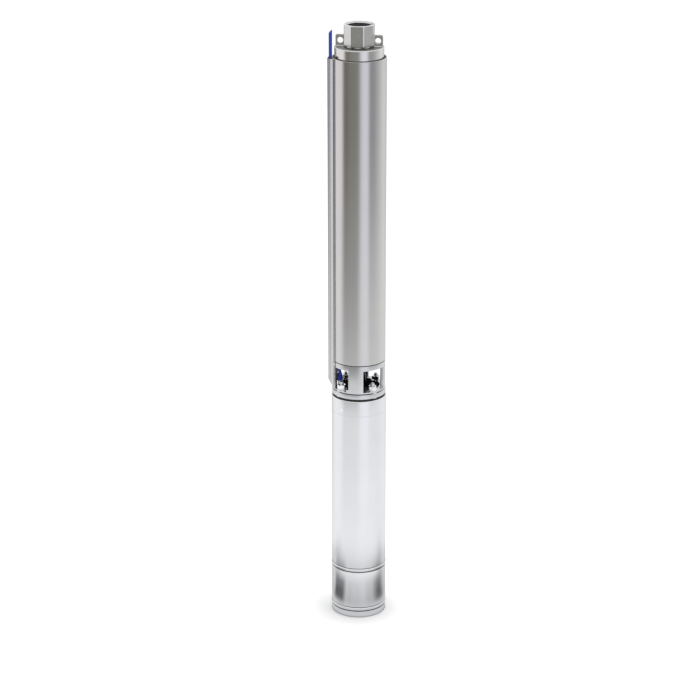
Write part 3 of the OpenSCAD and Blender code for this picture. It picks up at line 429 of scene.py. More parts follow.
# Seam lines
# Thin lines of black rubber in the joints above and below the two rolled beads, in the groove over the
# bracket's flange and in the joint under the pump sleeve, drawn dark as painted shade in these joints.
shade_line_places = (
    (47.25, 47.8, 11.95, 12.95), (47.15, 47.75, 18.75, 19.9), (47.25, 47.8, 87.65, 88.65),
    (47.15, 47.75, 94.25, 95.4), (45.25, 45.85, 424.6, 425.6), (45.25, 46.05, 476.35, 477.45),
)
shade_lines = [turn_on_lathe("seam", [
    (in_r, low), (out_r, low, 0.2), (out_r, high, 0.2), (in_r, high),
]) for in_r, out_r, low, high in shade_line_places]


def join(piece, *others):
    """Puts other pieces' meshes into one piece and removes them."""
    shell = bmesh.new()
    for part in (piece, *others):
        shell.from_mesh(part.data)
    shell.to_mesh(piece.data)
    shell.free()
    for other in others:
        bpy.data.meshes.remove(other.data)


shade_line_set = shade_lines[0]
shade_line_set.name = "seam_compound_lines"
join(shade_line_set, *shade_lines[1:])
shade_line_set.data.materials.append(rubber)
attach(shade_line_set, "housing")

# Motor shell
# The long polished stainless tube of the motor, rolled over the spigots of both end bells.
# A fine chamfer at its upper end leaves a hairline joint against the top bell.
shell_tube = turn_on_lathe("motor_shell_tube", [
    (46.5, 94.5), (47.2, 94.5), (47.2, 95.3), (48, 95.6), (48, 384.2), (47.75, 384.45), (46.5, 384.45),
])
shell_tube.data.materials.append(polished_steel)
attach(shell_tube, "housing")
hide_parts("motor_shell")

# Motor top bell
# The turned stainless cap of the motor: it carries the upper bearing, the centring spigot of the standard
# motor face, four blind stud holes, the lead's socket and the hole of the fill plug.
plug_polar = 240
plug_z = 394.5
plug_hole_r = 3.5
lead_polar = 200
lead_circle_r = 34
lead_socket_r = 5.1
stud_polars = quarter_polars
stud_circle_r = 38.1
stud_hole_r = 4.1


def radial_bars(radius, polars, height, in_r, out_r):
    """Level round bars in mm that point away from the axis in these directions, used as drills."""
    return [round_bar(radius, on_circle(in_r, a, height), on_circle(out_r, a, height)) for a in polars]


top_bell = turn_on_lathe("motor_top_bell_cap", [
    (16.05, 362.5), (21.05, 362.5), (21.05, 397), (42, 397), (42, 372.5), (46.4, 372.5), (46.4, 384.55),
    (47.75, 384.55), (48, 384.8), (48, 411.2, 0.4), (47.2, 412, 0.3), (43.65, 412), (43.65, 415), (15.1, 415),
    (15.1, 405), (13, 405), (13, 392.5), (16.05, 392.5),
])
machine(
    top_bell,
    upright_bars(stud_hole_r, stud_circle_r, stud_polars, 399, 417)
    + upright_bars(lead_socket_r, lead_circle_r, [lead_polar], 404, 417)
    + radial_bars(plug_hole_r, [plug_polar], plug_z, 44.6, 52),
)
top_bell.data.materials.append(polished_steel)
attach(top_bell, "housing")
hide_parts("motor_top_bell")

# Fill plug
# A small stainless screw plug with a hexagon socket that closes the motor's filling hole on a rubber ring.
# Turned bright, with a flat face that catches the light.
bright_steel = stainless(
    "bright_turned_stainless", "FCFCFD", "F4F5F6", roughness=0.12, spread=0.04,
    line_mm=0.8, line_depth=0.06, cloud_mm=12.0, stretch=30.0,
)
plug = turn_on_lathe("fill_plug_screw", [
    (0, 44.6), (3.35, 44.6), (3.35, 48.3, 0.1), (3.15, 48.6, 0.1), (0, 48.6),
], facets=64)
machine(plug, [round_bar(0.8, Vector((0, 0, 48.3)), Vector((0, 0, 50)), sides=6)])
plug.data.materials.append(bright_steel)
plug_ring = turn_on_lathe("fill_plug_ring", [
    (3.36, 46.4), (3.48, 46.4), (3.48, 47.4), (3.36, 47.4),
], facets=64)
plug_ring.data.materials.append(rubber)
for piece in (plug, plug_ring):
    piece.data.transform(
        Matrix.Translation(Vector((0, 0, plug_z * 0.001)))
        @ Matrix.Rotation(math.radians(plug_polar), 4, "Z")
        @ Matrix.Rotation(math.pi / 2, 4, "Y")
    )
    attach(piece, "housing")
    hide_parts("fill_plug")

# Joint gasket and sand slinger
# Black rubber: a flat ring pressed between the motor and the interconnector, whose edge bulges a little,
# and a skirted ring that turns with the shaft and throws sand away from the seal.
gasket = turn_on_lathe("motor_gasket_ring", [
    (43.75, 412.05), (45.9, 412.05, 0.3), (46.15, 414.0, 0.8), (45.9, 415.95, 0.3), (45.3, 415.95),
    (45.3, 414.45), (43.75, 414.45),
])
gasket.data.materials.append(rubber)
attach(gasket, "housing")
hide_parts("motor_gasket")
slinger = turn_on_lathe("sand_slinger_ring", [
    (8.1, 416), (18, 416, 0.4), (18, 417.5, 0.4), (12, 421, 1.5), (8.1, 421),
], facets=96)
slinger.data.materials.append(rubber)
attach(slinger, "rotor")
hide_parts("sand_slinger")

# Suction interconnector
# An investment cast stainless bracket, turned outside: flange, four inlet windows between pillars, a closed
# rim and the spigot that goes up into the sleeve. Turned grooves mark the flange and the sleeve's joint.
cast_bracket = stainless(
    "cast_stainless_bracket", "DCDDDE", "CDCFD1", roughness=0.2, spread=0.05,
    line_mm=1.2, line_depth=0.1, cloud_mm=18.0, stretch=14.0,
)
# Dark, rough and a little pitted: painted shade on the inside and on one side of each window
painted_shade_casting = stainless(
    "raw_stainless_casting", "4A4B4C", "343536", roughness=0.5, spread=0.08,
    line_mm=2.0, line_depth=0.3, cloud_mm=6.0, stretch=2.0,
)
window_low = 428
window_high = 467.5
window_angle = 57
boss_r = 8.5
window_in_r = stud_circle_r - boss_r - 1
cutters_out_r = 51
stud_clearance_r = 4.4
gland_clearance_r = 7.2
notch_polar = lead_polar + 1.5
notch_angle = 10.8
notch_in_r = 39.4
notch_low = 466.5
notch_high = 474.5
screw_turn = 12.11
screw_polars = (lead_polar - screw_turn, lead_polar + screw_turn)
screw_z = 472.5
screw_pilot_r = 1.3
shade_inside_r = 41.1


def sector(name, in_r, out_r, polar, angle, low, high, steps=24):
    """A sector of a ring in mm, used to cut a window or as a block."""
    shell = bmesh.new()
    profile = ((in_r, low), (out_r, low), (out_r, high), (in_r, high))
    rings = []
    for k in range(steps + 1):
        a = polar - angle / 2 + angle * k / steps
        rings.append([shell.verts.new(on_circle(r, a, z)) for r, z in profile])
    for one, two in zip(rings, rings[1:]):
        for k in range(4):
            shell.faces.new((one[k], one[(k + 1) % 4], two[(k + 1) % 4], two[k]))
    shell.faces.new(rings[0][::-1])
    shell.faces.new(rings[-1])
    return finish_shell(name, shell)


def break_edges(piece, width, angle=40.0, segments=2):
    """Rounds the sharp edges of a piece by a width in mm."""
    step = piece.modifiers.new("broken_edges", "BEVEL")
    step.width = width * 0.001
    step.segments = segments
    step.limit_method = "ANGLE"
    step.angle_limit = math.radians(angle)
    step.harden_normals = True
    bake(piece)


bracket = turn_on_lathe("suction_bracket", [
    (43.75, 414.5), (45.2, 414.5), (45.2, 416), (47, 416, 0.4), (47, 423.8, 0.4), (45.3, 424.5),
    (45.3, 425.7), (46.4, 425.7, 0.2), (46.4, 476.3, 0.3), (45.3, 476.3), (45.3, 477.5), (44.9, 477.5),
    (44.9, 486.5), (43.9, 487.5), (40.4, 487.5), (40.4, 428.8), (36.4, 428.8), (36.4, 415.1), (43.75, 415.1),
], facets=240)
machine(bracket, upright_bars(boss_r, stud_circle_r, stud_polars, 415.1, 428.8), "UNION")
machine(
    bracket,
    [
        sector("window", window_in_r, cutters_out_r, a, window_angle, window_low, window_high)
        for a in stud_polars
    ]
    + [sector("lead_notch", notch_in_r, cutters_out_r, notch_polar, notch_angle, notch_low, notch_high)]
    + upright_bars(stud_clearance_r, stud_circle_r, stud_polars, 413, 430)
    + upright_bars(gland_clearance_r, lead_circle_r, [lead_polar], 413, 430)
    + radial_bars(screw_pilot_r, screw_polars, screw_z, 42.4, cutters_out_r),
)
break_edges(bracket, 0.35)
bracket.data.materials.append(cast_bracket)
bracket.data.materials.append(painted_shade_casting)
# Painted shade: the bore and one side of each window take the dark steel
for face in bracket.data.polygons:
    outwards = face.center.xy.normalized()
    sideways = Vector((-outwards.y, outwards.x))
    shaded_bore = face.center.xy.length * 1000 < shade_inside_r and face.normal.xy.dot(outwards) < -0.5
    shaded_window_side = window_low < face.center.z * 1000 < window_high and face.normal.xy.dot(sideways) > 0.8
    if shaded_bore or shaded_window_side:
        face.material_index = 1
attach(bracket, "housing")
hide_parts("suction_interconnector")

# Stud bolts, washers and nuts
# Four M8 stainless studs screwed into the motor's face clamp the bracket, each with a washer and a nut.
# Bright rolled thread with domed ends; one set is made and the rest are set round the bolt circle.
# The sides that face the shaft are darker: painted shade.
oiled_steel = stainless(
    "oiled_steel", "3A3B3E", "2C2D30", roughness=0.3, spread=0.06,
    line_mm=0.9, line_depth=0.15, cloud_mm=15.0, stretch=30.0,
)


def start_tree(name, inputs):
    """A new geometry node tree with these inputs, then their sockets inside it."""
    tree = bpy.data.node_groups.new(name, "GeometryNodeTree")
    for socket, kind in inputs.items():
        tree.interface.new_socket(socket, in_out="INPUT", socket_type="NodeSocket" + kind)
    tree.interface.new_socket("Mesh", in_out="OUTPUT", socket_type="NodeSocketGeometry")
    return tree, add_node(tree, "NodeGroupInput").outputs


def end_tree(tree, geometry, material):
    """Ends a tree: makes copies real, gives the whole its material and puts it out."""
    whole = add_node(tree, "GeometryNodeRealizeInstances", {}, {"Geometry": geometry})
    dressed = add_node(
        tree, "GeometryNodeSetMaterial", {}, {"Geometry": whole.outputs["Geometry"], "Material": material}
    )
    add_node(tree, "NodeGroupOutput", {}, {"Mesh": dressed.outputs["Geometry"]})
    return tree


def helix_tree():
    """Geometry nodes for a thread's ridge or a spring's wire, swept along a helix."""
    tree, given = start_tree("helix_sweep", {
        "Helix radius": "Float", "Pitch": "Float", "Turns": "Float", "Section size": "Float",
        "Section sides": "Int", "Section turn": "Float", "Start height": "Float", "Steel": "Material",
    })
    rise = add_node(tree, "ShaderNodeMath", {"operation": "MULTIPLY"}, {0: given["Pitch"], 1: given["Turns"]})
    helix = add_node(
        tree, "GeometryNodeCurveSpiral", {"Resolution": 48},
        {
            "Rotations": given["Turns"], "Start Radius": given["Helix radius"],
            "End Radius": given["Helix radius"], "Height": rise.outputs["Value"],
        },
    )
    upright = add_node(
        tree, "GeometryNodeSetCurveNormal", {"mode": "Z_UP"}, {"Curve": helix.outputs["Curve"]}
    )
    lift = add_node(tree, "ShaderNodeCombineXYZ", {}, {"Z": given["Start height"]})
    placed = add_node(
        tree, "GeometryNodeTransform", {},
        {"Geometry": upright.outputs["Curve"], "Translation": lift.outputs["Vector"]},
    )
    section = add_node(
        tree, "GeometryNodeCurvePrimitiveCircle", {},
        {"Resolution": given["Section sides"], "Radius": given["Section size"]},
    )
    aim = add_node(tree, "ShaderNodeCombineXYZ", {}, {"Z": given["Section turn"]})
    turned = add_node(
        tree, "GeometryNodeTransform", {},
        {"Geometry": section.outputs["Curve"], "Rotation": aim.outputs["Vector"]},
    )
    swept = add_node(
        tree, "GeometryNodeCurveToMesh", {"Fill Caps": True},
        {"Curve": placed.outputs["Geometry"], "Profile Curve": turned.outputs["Geometry"]},
    )
    return end_tree(tree, swept.outputs["Mesh"], given["Steel"])


def bolt_circle_tree():
    """Geometry nodes that set copies of one piece round a circle, each turned to face outwards."""
    tree, given = start_tree("bolt_circle", {
        "Piece": "Object", "Count": "Int", "Circle radius": "Float", "First direction": "Float",
        "Steel": "Material",
    })
    circle = add_node(
        tree, "GeometryNodeMeshCircle", {}, {"Vertices": given["Count"], "Radius": given["Circle radius"]}
    )
    first = add_node(tree, "ShaderNodeCombineXYZ", {}, {"Z": given["First direction"]})
    placed = add_node(
        tree, "GeometryNodeTransform", {},
        {"Geometry": circle.outputs["Mesh"], "Rotation": first.outputs["Vector"]},
    )
    spot = add_node(tree, "GeometryNodeInputPosition")
    outwards = add_node(
        tree, "FunctionNodeAlignRotationToVector", {"axis": "X"}, {"Vector": spot.outputs["Position"]}
    )
    source = add_node(tree, "GeometryNodeObjectInfo", {}, {"Object": given["Piece"]})
    copies = add_node(
        tree, "GeometryNodeInstanceOnPoints", {},
        {
            "Points": placed.outputs["Geometry"], "Instance": source.outputs["Geometry"],
            "Rotation": outwards.outputs["Rotation"],
        },
    )
    return end_tree(tree, copies.outputs["Instances"], given["Steel"])


def grow(name, tree, values):
    """A new piece baked from a node tree whose named inputs get these values."""
    piece = bpy.data.objects.new(name, bpy.data.meshes.new(name))
    bpy.context.scene.collection.objects.link(piece)
    step = piece.modifiers.new("nodes", "NODES")
    step.node_group = tree
    for socket in tree.interface.items_tree:
        if socket.in_out == "INPUT" and socket.name in values:
            step[socket.identifier] = values[socket.name]
    bake(piece)
    return piece


def hexagon_bar(across, start, end):
    """A hexagon bar between two points in mm, by its width across the flats."""
    return round_bar(across / 2 / math.cos(math.pi / 6), start, end, sides=6)


nut_across = 13
helix_sweep = helix_tree()
bolt_circle = bolt_circle_tree()
stud = turn_on_lathe("stud_master", [
    (0, 399), (3.4, 399), (3.4, 399.5), (3.4, 440.2), (3.1, 441.3, 0.6), (1.6, 442, 0.8), (0, 442),
], facets=48)
stud_thread = grow("stud_thread", helix_sweep, {
    "Helix radius": 0.00335, "Pitch": 0.00125, "Turns": 32.1, "Section size": 0.00062, "Section sides": 3,
    "Section turn": 0.0, "Start height": 0.4000, "Steel": bright_steel,
})
join(stud, stud_thread)
washer = turn_on_lathe("washer_master", [
    (4.15, 428), (8.0, 428, 0.3), (8.0, 429.6, 0.3), (4.15, 429.6),
], facets=64)
nut = hexagon_bar(nut_across, Vector((0, 0, 429.6)), Vector((0, 0, 436.1)))
nut.name = "nut_master"
nut_shape = turn_on_lathe("nut_shape", [
    (0, 429), (7.0, 429.6), (8.2, 430.4), (8.2, 435.2), (6.6, 436.1), (0, 436.2),
], facets=64)
machine(nut, [nut_shape], "INTERSECT")
machine(nut, [round_bar(4.05, Vector((0, 0, 428)), Vector((0, 0, 438)))])
break_edges(nut, 0.15)
for master, name, node in (
    (stud, "stud_bolts", "motor_studs"), (washer, "stud_washer_set", "stud_washers"),
    (nut, "stud_nut_set", "stud_nuts"),
):
    piece = grow(name, bolt_circle, {
        "Piece": master, "Count": len(stud_polars), "Circle radius": stud_circle_r * 0.001,
        "First direction": math.radians(stud_polars[0]), "Steel": bright_steel,
    })
    bpy.data.meshes.remove(master.data)
    piece.data.materials.append(oiled_steel)
    # Painted shade: the faces that turn to the shaft take the dark steel
    for face in piece.data.polygons:
        if face.normal.xy.dot(face.center.xy.normalized()) < -0.2:
            face.material_index = 1
    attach(piece, "housing")
    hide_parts(node)

# Shaft coupling
# A turned steel sleeve on the motor shaft's splined end, with a groove round its middle and a pin hole
# across. Its steel is darker than the castings round it, painted shade inside the bracket, and it turns with
# the shaft.
coupling = turn_on_lathe("shaft_coupling_sleeve", [
    (8.1, 425), (13, 425, 0.8), (13, 445.75, 0.4), (11.5, 446.75, 0.4), (11.5, 450.75, 0.4),
    (13, 451.75, 0.4), (13, 472.5, 0.8), (8.1, 472.5),
], facets=96)
machine(coupling, [round_bar(1.7, Vector((-15, 0, 462)), Vector((15, 0, 462)))])
coupling.data.materials.append(oiled_steel)
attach(coupling, "rotor")
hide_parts("shaft_coupling")

# Motor lead with its gland and boot
# A hexagon gland nut holds the lead in the motor's socket under a moulded boot. The blue PVC lead bends out
# of the window, runs up behind the guard, and ends cut slantwise above the sleeve.
lead_r = 2.9
lead_guard_r = 49.6
boot_top = 452
bend_h = 24
bend_swing = 1.5
bend_angle = 2 * math.atan((lead_guard_r - lead_circle_r) / bend_h)
bend_arc = bend_h / 2 / math.sin(bend_angle)
lead_top = 1058

# Extruded skin with a slight unevenness every 8 mm and a dull bloom in patches of 25 mm
sheath = patchy(
    "blue_pvc_sheath", ("1D369C", "2746B4"), roughness=(0.34, 0.5), patch_mm=25.0, detail=3.0,
    settings={"IOR": 1.53}, grain=(8.0, 0.15, 0.3),
)

gland_across = 11
gland_foot = on_circle(lead_circle_r, lead_polar, 0)
gland = hexagon_bar(gland_across, gland_foot + Vector((0, 0, 415)), gland_foot + Vector((0, 0, 422)))
gland.name = "lead_gland_nut"
machine(gland, upright_bars(5, lead_circle_r, [lead_polar], 404, 416), "UNION")
break_edges(gland, 0.5)
gland.data.materials.append(bright_steel)
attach(gland, "housing")
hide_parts("lead_connector")

ferrule = turn_on_lathe("lead_ferrule", [
    (5.32, 422.2), (5.8, 422.2, 0.2), (5.8, 439.4, 0.3), (5.32, 439.4),
], facets=48)
ferrule.data.transform(Matrix.Translation(gland_foot * 0.001))
ferrule.data.materials.append(bright_steel)
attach(ferrule, "housing")
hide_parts("lead_connector")

boot = turn_on_lathe("lead_boot_cone", [
    (3.0, 422), (4.3, 422), (5.3, 424.0, 0.8), (5.3, 440.0, 0.4), (4.7, 440.4), (4.7, 441.6),
    (5.1, 442.0, 0.2), (4.8, 444.4, 0.2), (4.3, 444.8), (4.3, 446.0), (4.6, 446.4, 0.2), (4.3, 448.4, 0.2),
    (3.8, 448.8), (3.8, 450.0), (3.9, 450.4, 0.2), (3.6, boot_top, 0.3), (3.0, boot_top),
], facets=48)
boot.data.transform(Matrix.Translation(gland_foot * 0.001))
boot.data.materials.append(sheath)
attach(boot, "housing")
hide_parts("lead_boot")


def lead_bend(t):
    """A point of the lead's double bend out of the window, in mm, at a share of its way."""
    a = bend_angle * (2 * t if t < 0.5 else 2 - 2 * t)
    out, up = bend_arc * (1 - math.cos(a)), bend_arc * math.sin(a)
    polar = lead_polar + bend_swing * math.sin(math.pi * t)
    if t < 0.5:
        return on_circle(lead_circle_r + out, polar, boot_top + up)
    return on_circle(lead_guard_r - out, polar, boot_top + bend_h - up)


def swept_tube_tree():
    """Geometry nodes for a round tube along a path object."""
    tree, given = start_tree("swept_lead", {"Path": "Object", "Radius": "Float", "Sheath": "Material"})
    path = add_node(tree, "GeometryNodeObjectInfo", {}, {"Object": given["Path"]})
    round_section = add_node(
        tree, "GeometryNodeCurvePrimitiveCircle", {"Resolution": 32}, {"Radius": given["Radius"]}
    )
    swept = add_node(
        tree, "GeometryNodeCurveToMesh", {"Fill Caps": True},
        {"Curve": path.outputs["Geometry"], "Profile Curve": round_section.outputs["Curve"]},
    )
    return end_tree(tree, swept.outputs["Mesh"], given["Sheath"])


route = [gland_foot + Vector((0, 0, 422.2)), gland_foot + Vector((0, 0, 431))]
route += [lead_bend(k / 40) for k in range(41)]
route += [on_circle(lead_guard_r, lead_polar, z) for z in (480, 600, 750, 900, 1013, lead_top + lead_r + 2)]
path_curve = bpy.data.curves.new("lead_path", "CURVE")
path_curve.dimensions = "3D"
spline = path_curve.splines.new("POLY")
spline.points.add(len(route) - 1)
for point, place in zip(spline.points, route):
    point.co = (*(place * 0.001), 1.0)
path_object = bpy.data.objects.new("lead_path", path_curve)
bpy.context.scene.collection.objects.link(path_object)
lead = grow("motor_lead_cable", swept_tube_tree(), {
    "Path": path_object, "Radius": lead_r * 0.001, "Sheath": sheath,
})
bpy.data.curves.remove(path_curve)
# The cutters' slant: highest on the side of the pump's axis
cut_shell = bmesh.new()
cut_shell.from_mesh(lead.data)
lead_way = on_circle(1, lead_polar, 0)
bmesh.ops.bisect_plane(
    cut_shell, geom=cut_shell.verts[:] + cut_shell.edges[:] + cut_shell.faces[:],
    plane_co=on_circle(lead_guard_r, lead_polar, lead_top) * 0.001,
    plane_no=lead_way + Vector((0, 0, 1)), clear_outer=True,
)
bmesh.ops.holes_fill(cut_shell, edges=[e for e in cut_shell.edges if e.is_boundary])
bmesh.ops.recalc_face_normals(cut_shell, faces=cut_shell.faces)
cut_shell.to_mesh(lead.data)
cut_shell.free()
lead.data.shade_smooth()
lead.data.set_sharp_from_angle(angle=math.radians(40))
# The dull steel beside it hardly shows its colour, so reflections leave the lead out
lead.visible_glossy = False
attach(lead, "housing")
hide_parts("motor_lead")

# Pump stages
# Pressed and welded stainless stages: chambers with return vanes, impellers between sloped shrouds, and the
# discharge chamber at the top. Deep drawn sheet with a soft sheen.
pressed_steel = stainless(
    "pressed_stainless_sheet", "CFD0D2", "BFC1C4", roughness=0.24, spread=0.05,
    line_mm=1.5, line_depth=0.08, cloud_mm=30.0, stretch=20.0,
)
dress(pressed_steel, "top_chamber")
for stage in range(1, 10):
    dress(pressed_steel, f"chamber_{stage}", f"impeller_{stage}")

# Pump sleeve
# The stainless tube that clamps the stages between the interconnector and the head. Satin finished round its
# axis, so reflections stay crisp sideways and run out up and down.
satin_steel = stainless(
    "satin_stainless_tube", "D7D6D4", "D0D0D1", roughness=0.21, spread=0.03,
    line_mm=1.6, line_depth=0.06, cloud_mm=90.0, stretch=80.0,
)
sleeve = turn_on_lathe("pump_sleeve_tube", [
    (45, 477.5), (46.1, 477.5), (46.5, 477.9), (46.5, 1012.7, 0.15), (46.2, 1013), (45, 1013),
], facets=240)
sleeve.data.materials.append(satin_steel)
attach(sleeve, "housing")
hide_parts("pump_sleeve")

# Cable guard
# One length of thin stainless strip, rolled to a hat section: a channel over the lead with a flange on each
# side that follows the sleeve. Its foot is cut on a slant, and it ends level with the sleeve's rim.
guard_r = 46.6
guard_t = 1.0
guard_half_w = 7.5
guard_top_r = 53.8
guard_foot = 427.0
guard_slant = 15.0
guard_head = 1013.0
flange_w = 5.0


def guard_line():
    """The middle line of the strip's section in mm, x outwards, from one flange's edge to the other's."""
    middle_r = guard_r + guard_t / 2
    wall_y = guard_half_w - guard_t / 2
    edge_angle = math.atan2(guard_half_w + flange_w, guard_r)
    root_angle = math.asin(wall_y / middle_r)
    half = [(middle_r * math.cos(a), middle_r * math.sin(a)) for a in (
        edge_angle + (root_angle - edge_angle) * k / 5 for k in range(6)
    )]
    top_x = guard_top_r - guard_t / 2
    half += [(top_x, wall_y)]
    corners = [*half[:5], (*half[5], 0.9), (*half[6], 1.9)]
    painted_reflection = [(x, -y, *rest) for x, y, *rest in reversed(corners)]
    return eased(corners + painted_reflection, 5)


line = guard_line()
strip = bmesh.new()
outlines = []
for side in (-0.5, 0.5):
    outline = []
    for i, here in enumerate(line):
        way = (line[min(i + 1, len(line) - 1)] - line[max(i - 1, 0)]).normalized()
        outline.append(here + Vector((-way.y, way.x)) * guard_t * side)
    outlines.append(outline)
section = outlines[0] + outlines[1][::-1]
lean = guard_slant / (guard_top_r - guard_r)
levels = []
for level in (None, 500.0, 640.0, 780.0, 900.0, guard_head):
    ring = []
    for point in section:
        foot = guard_foot + max(0.0, point.x - guard_r) * lean
        ring.append(strip.verts.new((point.x, point.y, foot if level is None else level)))
    levels.append(ring)
count = len(section)
for low, high in zip(levels, levels[1:]):
    for k in range(count):
        strip.faces.new((low[k], low[(k + 1) % count], high[(k + 1) % count], high[k]))
line_count = len(line)
for ring in (levels[0], levels[-1]):
    for k in range(line_count - 1):
        strip.faces.new((ring[k], ring[k + 1], ring[count - 2 - k], ring[count - 1 - k]))
bmesh.ops.rotate(strip, verts=strip.verts, matrix=Matrix.Rotation(math.radians(lead_polar), 3, "Z"))
guard = finish_shell("cable_guard_strip", strip, crease=40.0)
machine(guard, radial_bars(1.4, screw_polars, screw_z, 45, cutters_out_r))
break_edges(guard, 0.12)
guard.data.materials.append(satin_steel)
guard.data.materials.append(painted_shade_casting)
# The channel's inside is darkened: painted shade
shaded_channel_r = 48.5
for face in guard.data.polygons:
    if face.center.xy.length * 1000 > shaded_channel_r and face.normal.xy.dot(lead_way.xy) < -0.3:
        face.material_index = 1
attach(guard, "housing")
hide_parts("cable_guard")

# Lead grommet
# A block of black rubber that holds the lead in the guard's upper end and stands a little out of it.
# It is pushed into the channel with the lead, and its black stands for the shade there: painted shade.
grommet_shade_block = sector(
    "lead_grommet_block", guard_r + 0.15, guard_top_r - guard_t + 0.1, lead_polar, 13.6, 1006, 1014.2
)
machine(grommet_shade_block, upright_bars(lead_r, lead_guard_r, [lead_polar], 1000, 1020))
grommet_shade_block.data.materials.append(rubber)
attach(grommet_shade_block, "housing")

# Guard screws
# Two small pan head stainless screws with a cross recess hold the guard's flanges to the bracket's rim.
screw = turn_on_lathe("screw_master", [
    (0, 42.6), (1.2, 42.6), (1.2, 47.62), (2.2, 47.62), (2.2, 48.2, 0.5), (1.2, 48.8, 0.4), (0, 48.8),
], facets=48)
for slot_way in (Vector((1, 0, 0)), Vector((0, 1, 0))):
    slot_z = Vector((0, 0, 48.75))
    machine(screw, [round_bar(0.32, slot_z - slot_way * 1.1, slot_z + slot_way * 1.1, 4)])
screw.data.transform(Matrix.Rotation(math.pi / 2, 4, "Y"))
screw_set = bmesh.new()
for polar in screw_polars:
    copy = screw.data.copy()
    copy.transform(Matrix.Translation((0, 0, screw_z * 0.001)) @ Matrix.Rotation(math.radians(polar), 4, "Z"))
    screw_set.from_mesh(copy)
    bpy.data.meshes.remove(copy)
screw.name = "guard_screw_pair"
screw_set.to_mesh(screw.data)
screw_set.free()
screw.data.set_sharp_from_angle(angle=math.radians(real_edge))
screw.data.materials.append(bright_steel)
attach(screw, "housing")
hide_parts("guard_screws")

# Discharge head
# An investment cast stainless head: skirt inside the sleeve, a turned neck above it, and an octagonal port on
# a round foot with a 1 1/4 inch pipe thread.
cast_head = stainless(
    "cast_stainless_head", "E8E8E6", "DADBD9", roughness=0.21, spread=0.04,
    line_mm=1.0, line_depth=0.06, cloud_mm=14.0, stretch=20.0,
)
# Its shoulder round the port is darker than the turned neck: painted shade under the port
shaded_shoulder = stainless(
    "as_cast_shoulder_steel", "8E8E8C", "7E7F7D", roughness=0.3, spread=0.05,
    line_mm=1.0, line_depth=0.1, cloud_mm=10.0, stretch=2.0,
)
shoulder_in_r = 23.5
shoulder_out_r = 40.2
shoulder_low = 1030.0
head = turn_on_lathe("discharge_head_casting", [
    (41.5, 930), (44.9, 930), (44.9, 1007), (42, 1007), (42, 1030.0, 0.8), (40.8, 1031, 0.6),
    (24.0, 1031, 0.8), (23.0, 1032.2, 0.5), (23.0, 1036), (18.45, 1036), (18.45, 1024), (38, 1008), (38, 940),
    (41.5, 940),
], facets=240)
head.data.materials.append(cast_head)
head.data.materials.append(shaded_shoulder)
for face in head.data.polygons:
    round_port = shoulder_in_r < face.center.xy.length * 1000 < shoulder_out_r
    if round_port and face.normal.z > 0.7 and face.center.z * 1000 > shoulder_low:
        face.material_index = 1
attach(head, "housing")
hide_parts("discharge_head")

# The flats are left as cast, with a fine even grain that blurs what they mirror
cast_flats = stainless(
    "investment_cast_stainless", "DEDEDD", "D3D4D2", roughness=0.25, spread=0.03,
    line_mm=0.9, line_depth=0.03, cloud_mm=10.0, stretch=1.5,
)
port_half = 25.0
port_strip = 1.1
port_high = 1069.0
rim_low = port_high - 1.0
flat_turn = math.atan(math.tan(math.pi / 8) - port_strip / port_half)
port_lean = 1 / math.cos(flat_turn)
port = turn_on_lathe("outlet_port_casting", [
    (0, 1032.5), ((port_half - 1.5) * port_lean, 1032.5), (port_half * port_lean, 1034.0),
    (port_half * port_lean, port_high - 0.8), ((port_half - 0.8) * port_lean, port_high), (0, port_high),
], directions=[45 * k + s * math.degrees(flat_turn) for k in range(8) for s in (-1, 1)])
machine(port, [turn_on_lathe("port_bore", [
    (0, 1020), (18.6, 1020), (18.6, 1044.5), (20.9, 1044.5), (20.9, 1066), (22.9, 1070), (0, 1070),
], facets=120)])
break_edges(port, 0.3, angle=30)
port.data.set_sharp_from_angle(angle=math.radians(12))
port.data.materials.append(cast_flats)
# The rim is faced on a lathe, so it is brighter than the flats
port.data.materials.append(bright_steel)
for face in port.data.polygons:
    if face.normal.z > 0.6 and face.center.z * 1000 > rim_low:
        face.material_index = 1
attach(port, "housing")
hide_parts("discharge_head")

# Cut thread steel with little polish, dark as painted shade inside the port's bore
shaded_thread_steel = stainless(
    "tapped_thread_steel", "6A6B6D", "505154", roughness=0.38, spread=0.06,
    line_mm=0.8, line_depth=0.1, cloud_mm=8.0, stretch=10.0,
)
outlet_thread = turn_on_lathe("outlet_thread_ridges", [
    (20.55, 1044.6), (20.85, 1044.6), (20.85, 1066), (20.55, 1066),
], facets=120)
outlet_thread.data.materials.append(shaded_thread_steel)
join(outlet_thread, grow("outlet_ridge", helix_sweep, {
    "Helix radius": 0.02046, "Pitch": 0.002309, "Turns": 8.7, "Section size": 0.001155, "Section sides": 3,
    "Section turn": math.pi, "Start height": 1.0455, "Steel": shaded_thread_steel,
}))
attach(outlet_thread, "housing")
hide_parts("discharge_head")

# Head ring
# A black rubber ring between the head's neck and the sleeve's rim, which keeps sand out of the joint.
# It is pushed down over the neck, and its lip swells a little above the rim.
head_ring = turn_on_lathe("head_ring_seal", [
    (42.1, 1007.1), (44.85, 1007.1), (44.85, 1012.7, 0.5), (44.2, 1013.5, 0.4), (42.1, 1013.5, 0.3),
])
head_ring.data.materials.append(rubber)
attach(head_ring, "housing")
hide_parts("head_ring")

# Rope eyes
# Two stainless lugs welded to the port and the neck, for the safety rope. Laser cut plate with rounded upper
# corners and a hole, and a rippled weld bead along each foot.
plate_steel = stainless(
    "laser_cut_stainless_plate", "D4D4D2", "C8C9C7", roughness=0.3, spread=0.05,
    line_mm=1.0, line_depth=0.08, cloud_mm=12.0, stretch=3.0,
)
lug_in_x = 24.4
lug_out_x = 40.0
lug_half_t = 2.5
lug_foot = 1031.0
eye_top = 1050.5
eye_hole_r = 5
eye_hole_x = 32.0
eye_hole_z = 1040.75


